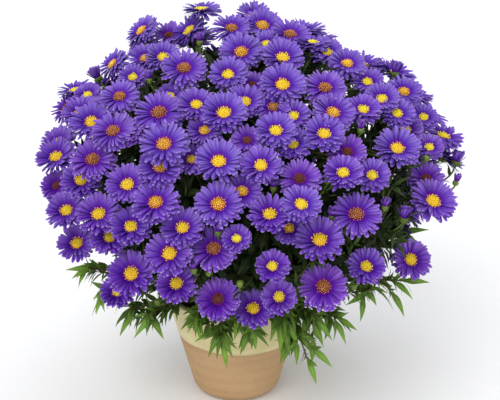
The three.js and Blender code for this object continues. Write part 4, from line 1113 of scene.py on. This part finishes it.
def make_pot(materials):
    """The clay pot, with its glaze band standing a little proud above a crisp line."""
    outer = POT_HEIGHT - LIP_ROUND
    foot = foot_arc()
    bare = [(wall_radius(z), z) for z in np.linspace(foot[-1][1] + 3, GLAZE_LINE, WALL_RINGS)]
    edge = [(wall_radius(GLAZE_LINE) + GLAZE_EDGE, GLAZE_LINE + GLAZE_EDGE)]
    heights = np.linspace(GLAZE_LINE, outer - 1, WALL_RINGS)
    glazed = [(wall_radius(z) + GLAZE_THICKNESS, z + 0.5) for z in heights]
    half_wall = POT_WALL / 2
    lip = arc((wall_radius(POT_HEIGHT) - half_wall, POT_HEIGHT - half_wall), half_wall, 8, 172, LIP_RINGS)
    inner = [(wall_radius(z) - POT_WALL, z) for z in np.linspace(outer - 2, POT_FLOOR + 4, INNER_RINGS)]
    floor = [(wall_radius(POT_FLOOR) - POT_WALL - 3, POT_FLOOR)]
    pot = turned_up("glazed_pot", foot + bare + edge + glazed + lip + inner + floor)
    for material in materials:
        pot.data.materials.append(material)
    for face in pot.data.polygons:
        outside = face.normal.x * face.center.x + face.normal.y * face.center.y > 0
        line = GLAZE_LINE + 0.05 if outside else POT_HEIGHT - GLAZED_INSIDE
        face.material_index = 1 if face.center.z > line * MM else 0
    tilt_glaze_line(pot)
    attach(pot, "root")
    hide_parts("pot")


def make_soil(forms, materials):
    """The soil: a crumbled surface with loose crumbs and a few white grains."""
    rng = np.random.default_rng(SOIL_SEED)
    edge = wall_radius(SOIL_TOP) - POT_WALL - CLEARANCE
    foot = wall_radius(POT_FLOOR + 3) - POT_WALL - CLEARANCE
    sides = [(foot - 3.2, POT_FLOOR + CLEARANCE), (foot, POT_FLOOR + 3.5), (edge - 0.2, SOIL_TOP - SOIL_EDGE)]
    rings = [(edge * share, SOIL_TOP) for share in np.linspace(0.98, 0.04, SOIL_RINGS)]
    bed = turned_up("soil_bed", sides + rings, SOIL_SIDES)
    top = bed.vertex_groups.new(name="top")
    for vertex in bed.data.vertices:
        if vertex.co.z > (SOIL_TOP - SOIL_EDGE / 2) * MM and vertex.co.xy.length < (edge - 2) * MM:
            top.add([vertex.index], 1, "REPLACE")
    displace = bed.modifiers.new("crumbs", "DISPLACE")
    displace.texture = bpy.data.textures.new("crumbs", "CLOUDS")
    displace.texture.noise_scale = 0.007
    displace.texture.noise_depth = 3
    displace.vertex_group = "top"
    displace.strength = 0.005
    displace.mid_level = 0.6
    displace.texture_coords = "LOCAL"
    bpy.ops.object.modifier_apply(modifier="crumbs")
    bed.data.materials.append(materials[0])
    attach(bed, "root")
    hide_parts("soil")
    growth = Growth()
    crumb = forms["knot"]
    for count, sizes, material in CRUMBS:
        reach = edge * 0.95 * np.sqrt(rng.uniform(0, 1, count))
        angle = rng.uniform(0, 2 * math.pi, count)
        height = SOIL_TOP + rng.uniform(-0.4, 0.7, count)
        centre = np.stack([reach * np.cos(angle), reach * np.sin(angle), height], axis=1)
        scale = rng.uniform(*sizes, (count, 1, 1)) * rng.uniform(0.7, 1.2, (count, 1, 3))
        points = centre[:, None] + (crumb.points - UP / 2)[None] * scale
        growth.add(crumb, points, material, [0.5, 0.5], leaf_tones(rng, count, 0.5))
    crumbs = growth.made("soil_crumbs", materials, sharp=30)
    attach(crumbs, "root")
    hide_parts("soil")


# Materials


def paint(red, green, blue):
    """A colour as seen, from 0 to 255, as the shader's linear colour."""
    parts = [value / 255 for value in (red, green, blue)]
    return tuple(p / 12.92 if p <= 0.04045 else ((p + 0.055) / 1.055) ** 2.4 for p in parts) + (1.0,)


def feed(tree, socket, value):
    """Links another node's socket to this one, or sets its constant."""
    if isinstance(value, bpy.types.NodeSocket):
        tree.links.new(value, socket)
    else:
        socket.default_value = value


def put(tree, kind, settings=None, **sockets):
    """A node with its settings, and its sockets given by name, or by i and their number."""
    node = tree.nodes.new(kind)
    for key, value in (settings or {}).items():
        setattr(node, key, value)
    for key, value in sockets.items():
        numbered = key[0] == "i" and key[1:].isdigit()
        feed(tree, node.inputs[int(key[1:]) if numbered else key.replace("_", " ")], value)
    return node


def math_of(tree, operation, first, second=0.5, clamp=False):
    settings = {"operation": operation, "use_clamp": clamp}
    return put(tree, "ShaderNodeMath", settings, i0=first, i1=second).outputs[0]


def times(tree, first, second):
    return math_of(tree, "MULTIPLY", first, second)


def band(tree, value, low, high, start=0.0, end=1.0):
    """A value's share of the way from low to high, smooth at both ends."""
    node = put(tree, "ShaderNodeMapRange", {"interpolation_type": "SMOOTHSTEP"}, Value=value,
               From_Min=low, From_Max=high, To_Min=start, To_Max=end)
    return node.outputs[0]


def blended(tree, share, first, second, kind="MIX"):
    settings = {"data_type": "RGBA", "blend_type": kind}
    return put(tree, "ShaderNodeMix", settings, i0=share, i6=first, i7=second).outputs[2]


def tinted(tree, colour, tint):
    return blended(tree, 1.0, colour, (*tint, 1), "MULTIPLY")


def noise(tree, scale, detail=3.0, stretch=None, coordinates=None):
    """Noise on object coordinates, stretched by a scale for each axis."""
    place = coordinates or put(tree, "ShaderNodeTexCoord").outputs["Object"]
    if stretch:
        place = put(tree, "ShaderNodeMapping", Vector=place, Scale=stretch).outputs[0]
    return put(tree, "ShaderNodeTexNoise", Vector=place, Scale=scale, Detail=detail).outputs["Fac"]


def new_group(name, inputs, outputs):
    """An empty node group with named inputs and outputs."""
    group = bpy.data.node_groups.new(name, "ShaderNodeTree")
    for label, default in inputs:
        socket = group.interface.new_socket(label, in_out="INPUT", socket_type="NodeSocketFloat")
        socket.default_value = default
    for label in outputs:
        group.interface.new_socket(label, in_out="OUTPUT", socket_type="NodeSocketFloat")
    return group, group.nodes.new("NodeGroupInput").outputs, group.nodes.new("NodeGroupOutput").inputs


def veins_group():
    """Fine lines along a petal or leaf: a mask of the lines, and a height that dips at them."""
    inputs = [("Across", 0.5), ("Along", 0.5), ("Lines", 5), ("Chance", 0.5)]
    group, given, result = new_group("veins", inputs, ["Mask", "Height"])
    shift = times(group, given["Chance"], 7.0)
    place = put(group, "ShaderNodeCombineXYZ", X=given["Across"], Y=given["Along"], Z=shift).outputs[0]
    waver = noise(group, 3.0, 2.0, (3, 1, 1), place)
    turns = times(group, given["Across"], given["Lines"])
    turns = math_of(group, "ADD", turns, times(group, waver, 0.8))
    mask = band(group, math_of(group, "COSINE", times(group, turns, 2 * math.pi)), 0.1, 1.0)
    fade = band(group, given["Along"], 0.0, 0.2)
    group.links.new(times(group, mask, fade), result["Mask"])
    group.links.new(math_of(group, "SUBTRACT", 1.0, mask), result["Height"])
    return group


def grain_group():
    """The grain of clay, glaze and soil: fine and coarse noise as a tone and as a height."""
    inputs = [("Fine", 900), ("Coarse", 60), ("Share", 0.5)]
    group, given, result = new_group("grain", inputs, ["Tone", "Height"])
    fine = noise(group, given["Fine"], 2.0)
    coarse = noise(group, given["Coarse"], 5.0)
    mixed = put(group, "ShaderNodeMix", i0=given["Share"], i2=coarse, i3=fine).outputs[0]
    group.links.new(mixed, result["Tone"])
    group.links.new(mixed, result["Height"])
    return group


def new_material(name):
    material = bpy.data.materials.new(name)
    material.use_nodes = True
    return material, material.node_tree


def finish(tree, colour, roughness, specular=0.5, height=None, strength=0.0, distance=0.0):
    """Feeds the shader of a material, its normal from a height in metres."""
    shader = tree.nodes["Principled BSDF"].inputs
    feed(tree, shader["Base Color"], colour)
    feed(tree, shader["Roughness"], roughness)
    shader["Specular IOR Level"].default_value = specular
    if height:
        bump = put(tree, "ShaderNodeBump", Height=height, Strength=strength, Distance=distance)
        tree.links.new(bump.outputs[0], shader["Normal"])


def group_node(tree, group, **sockets):
    return put(tree, "ShaderNodeGroup", {"node_tree": group}, **sockets).outputs


def form_places(tree):
    """Across and along the form, and the three tones of its copy."""
    pattern = put(tree, "ShaderNodeUVMap", {"uv_map": "form"}).outputs[0]
    place = put(tree, "ShaderNodeSeparateXYZ", i0=pattern).outputs
    named = {"attribute_type": "GEOMETRY", "attribute_name": "tone"}
    tone = put(tree, "ShaderNodeAttribute", named).outputs["Color"]
    tones = put(tree, "ShaderNodeSeparateColor", i0=tone).outputs
    return place["X"], place["Y"], tones[0], tones[1], tones[2]


def petal_material(veins):
    """Violet petals: magenta at the root, deep in the middle, pale at the tip and along one edge. That pale
    edge is a painted highlight, the other edge has painted shade, and petals with less painted light are
    painted deeper.
    """
    material, tree = new_material("violet petal")
    across, along, chance, tint, light = form_places(tree)
    lines = group_node(tree, veins, Across=across, Along=along, Lines=3.0, Chance=chance)
    rise = band(tree, along, 0.15, 0.85)
    blue = blended(tree, rise, paint(80, 22, 168), paint(133, 110, 200))
    mauve = blended(tree, rise, paint(94, 14, 160), paint(146, 98, 198))
    colour = blended(tree, tint, blue, mauve)
    # Painted light and shade: petals are painted deeper where their painted light is low, with some random
    # change
    painted_light_share = math_of(tree, "ADD", times(tree, light, 0.75), times(tree, chance, 0.4), True)
    colour = blended(tree, painted_light_share, tinted(tree, colour, (0.46, 0.05, 0.78)), colour)
    colour = blended(tree, band(tree, along, 0.26, 0.08), colour, paint(132, 20, 112))
    # Painted shade along one edge of each petal, and below it a painted highlight (rim) along the other edge
    painted_edge_shade = times(tree, band(tree, across, 0.6, 1.0), 0.7)
    colour = blended(tree, painted_edge_shade, colour, tinted(tree, colour, (0.42, 0.3, 0.56)))
    rim = times(tree, band(tree, across, 0.3, 0.0), band(tree, along, 0.25, 0.9))
    # Pale tips, partly the petals' own paler colour and partly a painted highlight, painted stronger on
    # petals with little painted light
    tip = times(tree, band(tree, along, 0.86, 1.0), band(tree, light, 0.0, 1.0, 0.95, 0.4))
    tip = times(tree, tip, band(tree, chance, 0.0, 1.0, 0.35, 1.0))
    pale = math_of(tree, "MAXIMUM", times(tree, rim, 0.38), tip)
    colour = blended(tree, pale, colour, paint(190, 160, 234))
    colour = blended(tree, times(tree, lines["Mask"], 0.4), colour, paint(70, 20, 134))
    finish(tree, colour, 0.55, 0.12, lines["Height"], 0.5, 0.0003)
    return material


def disc_material(name, centre, rim, tip, foot):
    """The florets of a disc: coloured from its centre to its rim, with their own tips, and dark feet that are
    painted shade between the florets.
    """
    material, tree = new_material(name)
    share, along, chance, _, _ = form_places(tree)
    colour = blended(tree, band(tree, share, 0.4, 0.95), paint(*centre), paint(*rim))
    tips = times(tree, band(tree, along, 0.6, 0.95), band(tree, share, 0.3, 0.9, 0.25, 0.9))
    colour = blended(tree, tips, colour, paint(*tip))
    colour = blended(tree, times(tree, chance, 0.5), colour, tinted(tree, colour, (0.86, 0.74, 0.5)))
    # Painted shade: the feet of the florets are darker, where shade falls between them
    colour = blended(tree, band(tree, along, 0.55, 0.1), colour, paint(*foot))
    finish(tree, colour, 0.7, 0.25)
    return material


def leaf_material(name, veins, dark, bright, midrib):
    """Leaves with painted shade: dark inside the plant, where shade falls, and bright outside, darker towards
    the root, with a pale midrib and faint side veins that fade in the painted shade.
    """
    material, tree = new_material(name)
    across, along, chance, light, _ = form_places(tree)
    # Painted light and shade from the second tone, darker towards the root
    outer = times(tree, light, band(tree, along, 0.0, 0.7, 0.5, 1.0))
    colour = blended(tree, outer, paint(*dark), paint(*bright))
    mottle = band(tree, noise(tree, 160), 0.35, 0.7, 0.0, 0.45)
    colour = blended(tree, mottle, colour, tinted(tree, colour, (0.6, 0.7, 0.55)))
    colour = blended(tree, times(tree, chance, 0.4), colour, tinted(tree, colour, (1.35, 1.2, 0.9)))
    lines = group_node(tree, veins, Across=across, Along=along, Lines=4.0, Chance=chance)
    edge = times(tree, math_of(tree, "ABSOLUTE", math_of(tree, "SUBTRACT", across, 0.5)), 2.0)
    painted_light_on_veins = math_of(tree, "ADD", times(tree, light, 0.75), 0.1, True)
    rib = times(tree, band(tree, edge, 0.16, 0.02), times(tree, painted_light_on_veins, 0.6))
    colour = blended(tree, rib, colour, paint(*midrib))
    faint = times(tree, lines["Mask"], times(tree, painted_light_on_veins, 0.14))
    colour = blended(tree, faint, colour, paint(*midrib))
    finish(tree, colour, 0.5, 0.15, lines["Height"], 0.35, 0.0004)
    return material


def bark_material():
    """Stems: woody brown low down, and green where they are young."""
    material, tree = new_material("stem bark")
    _, _, _, young, _ = form_places(tree)
    streak = noise(tree, 260, stretch=(1, 1, 0.15))
    wood = blended(tree, band(tree, streak, 0.35, 0.65), paint(70, 50, 34), paint(112, 84, 58))
    green = blended(tree, band(tree, streak, 0.35, 0.65), paint(74, 84, 40), paint(98, 112, 58))
    finish(tree, blended(tree, young, wood, green), 0.75, height=streak, strength=0.5, distance=0.0006)
    return material


def clay_material(grain):
    """Bare sandy clay with faint level streaks from the wheel."""
    material, tree = new_material("sandy clay")
    streak = noise(tree, 10, 4.0, (0.4, 0.4, 12))
    cloud = noise(tree, 22, 4.0, (1, 1, 2))
    fine = group_node(tree, grain, Fine=1500.0, Coarse=220.0, Share=0.6)
    colour = blended(tree, band(tree, streak, 0.34, 0.68), paint(176, 142, 104), paint(186, 154, 114))
    colour = blended(tree, band(tree, cloud, 0.42, 0.7, 0.0, 0.5), colour, paint(192, 162, 122))
    colour = blended(tree, band(tree, fine["Tone"], 0.42, 0.62, 0.16, 0.0), colour, paint(150, 112, 76))
    height = math_of(tree, "ADD", times(tree, streak, 0.5), times(tree, fine["Height"], 0.4))
    finish(tree, colour, 0.85, 0.25, height, 0.35, 0.0007)
    return material


def glaze_material(grain):
    """A thin satin glaze, pale olive, mottled and a little darker where it gathers."""
    material, tree = new_material("olive glaze")
    cloud = noise(tree, 34, 5.0, (1, 1, 1.8))
    fine = group_node(tree, grain, Fine=1100.0, Coarse=150.0, Share=0.5)
    colour = blended(tree, band(tree, cloud, 0.36, 0.66), paint(204, 192, 140), paint(220, 210, 160))
    colour = blended(tree, band(tree, fine["Tone"], 0.4, 0.6, 0.25, 0.0), colour, paint(188, 176, 124))
    place = put(tree, "ShaderNodeTexCoord").outputs["Object"]
    ring = wall_radius(GLAZE_LINE)
    level = (-GLAZE_TILT[0] / ring, -GLAZE_TILT[1] / ring, 1)
    height = put(tree, "ShaderNodeVectorMath", {"operation": "DOT_PRODUCT"}, i0=place, i1=level)
    low, high = GLAZE_LINE + 0.2, GLAZE_LINE + 2.5
    gathered = band(tree, height.outputs["Value"], high * MM, low * MM, 0.0, 0.3)
    colour = blended(tree, gathered, colour, paint(160, 140, 96))
    sheen = band(tree, cloud, 0.3, 0.7, 0.38, 0.55)
    finish(tree, colour, sheen, height=fine["Height"], strength=0.25, distance=0.0005)
    return material


def soil_material(grain):
    material, tree = new_material("potting soil")
    crumbs = group_node(tree, grain, Fine=1300.0, Coarse=260.0, Share=0.4)
    colour = blended(tree, band(tree, crumbs["Tone"], 0.35, 0.65), paint(24, 18, 13), paint(74, 56, 40))
    finish(tree, colour, 0.95, height=crumbs["Height"], strength=0.8, distance=0.0015)
    return material


def plain_material(name, low, high, roughness, scale):
    """A faintly mottled material."""
    material, tree = new_material(name)
    finish(tree, blended(tree, noise(tree, scale), (*low, 1), (*high, 1)), roughness)
    return material


# The scene

SENSOR_WIDTH = 36
FLOOR_SIZE = 24
FLOOR_BELOW = 0.0002


def make_camera():
    """The camera of the photograph's view."""
    camera = bpy.data.objects.new("camera", bpy.data.cameras.new("camera"))
    bpy.context.collection.objects.link(camera)
    camera.data.sensor_width = SENSOR_WIDTH
    camera.data.lens = SENSOR_WIDTH * FOCAL_PIXELS / FRAME_WIDTH
    camera.data.clip_end = 50
    camera.location = Vector(EYE * MM)
    camera.rotation_euler = (math.pi / 2 - VIEW_ELEVATION, 0, 0)
    bpy.context.scene.camera = camera


def make_floor():
    bpy.ops.object.select_all(action="DESELECT")
    bpy.ops.mesh.primitive_plane_add(size=FLOOR_SIZE, location=(0, 0, -FLOOR_BELOW))
    floor = bpy.context.object
    floor.name = "floor"
    floor.data.materials.append(plain_material("pale floor", (0.9, 0.9, 0.9), (0.94, 0.94, 0.94), 0.9, 4))


def add_sun(name, place, strength, softness):
    """A sun with soft edges that shines from a place towards the plant."""
    light = bpy.data.objects.new(name, bpy.data.lights.new(name, "SUN"))
    bpy.context.collection.objects.link(light)
    light.data.energy = strength
    light.data.angle = math.radians(softness)
    light.location = place
    light.rotation_euler = (-Vector(place)).to_track_quat("-Z", "Y").to_euler()


def make_lights():
    world = bpy.data.worlds.new("studio")
    world.use_nodes = True
    world.node_tree.nodes["Background"].inputs["Color"].default_value = (0.97, 0.98, 1, 1)
    world.node_tree.nodes["Background"].inputs["Strength"].default_value = 0.72
    bpy.context.scene.world = world
    add_sun("key", (-0.45, -1.0, 0.85), 1.6, 45)
    add_sun("fill", (0.7, -1.0, 0.3), 0.7, 60)
    add_sun("top", (0.1, 0.3, 1.0), 0.6, 60)


make_camera()
bpy.context.scene.view_settings.view_transform = "Standard"

heads = lay_out_heads()
forks = [Fork(direction) for direction in gather_sprays(heads)]
forms = make_forms()
veins, grain = veins_group(), grain_group()
spray_materials = [
    petal_material(veins),
    disc_material("young disc", (242, 244, 50), (238, 210, 42), (252, 236, 108), (214, 156, 30)),
    disc_material("middle disc", (252, 226, 66), (220, 148, 54), (248, 204, 104), (168, 94, 38)),
    disc_material("old disc", (200, 136, 58), (160, 92, 58), (212, 160, 110), (104, 44, 40)),
    disc_material("dark disc", (112, 56, 44), (92, 42, 46), (136, 84, 78), (52, 16, 28)),
    leaf_material("green cup and stalk", veins, (24, 38, 16), (124, 148, 64), (134, 160, 86)),
]
foliage_materials = [
    leaf_material("leaf", veins, (14, 24, 10), (106, 146, 50), (152, 178, 98)),
    bark_material(),
]
white_grain = plain_material("white grain", (0.6, 0.58, 0.52), (0.8, 0.78, 0.7), 0.8, 400)
make_pot([clay_material(grain), glaze_material(grain)])
make_soil(forms, [soil_material(grain), white_grain])
shoots, fillers = hanging_shoots(), side_shoots(heads)
for number in range(1, len(STEM_BOUNDS)):
    own_forks = [fork for fork in forks if fork.stem == number]
    own_shoots, own_fillers = [
        [growing for growing in table if stem_of(growing[0]) == number] for table in (shoots, fillers)
    ]
    make_leafy_stem(number, own_forks, own_shoots, own_fillers, forms, foliage_materials)
for number, fork in enumerate(forks, 1):
    make_spray(number, fork, [head for head in heads if head.spray == number], forms, spray_materials)

make_floor()
make_lights()
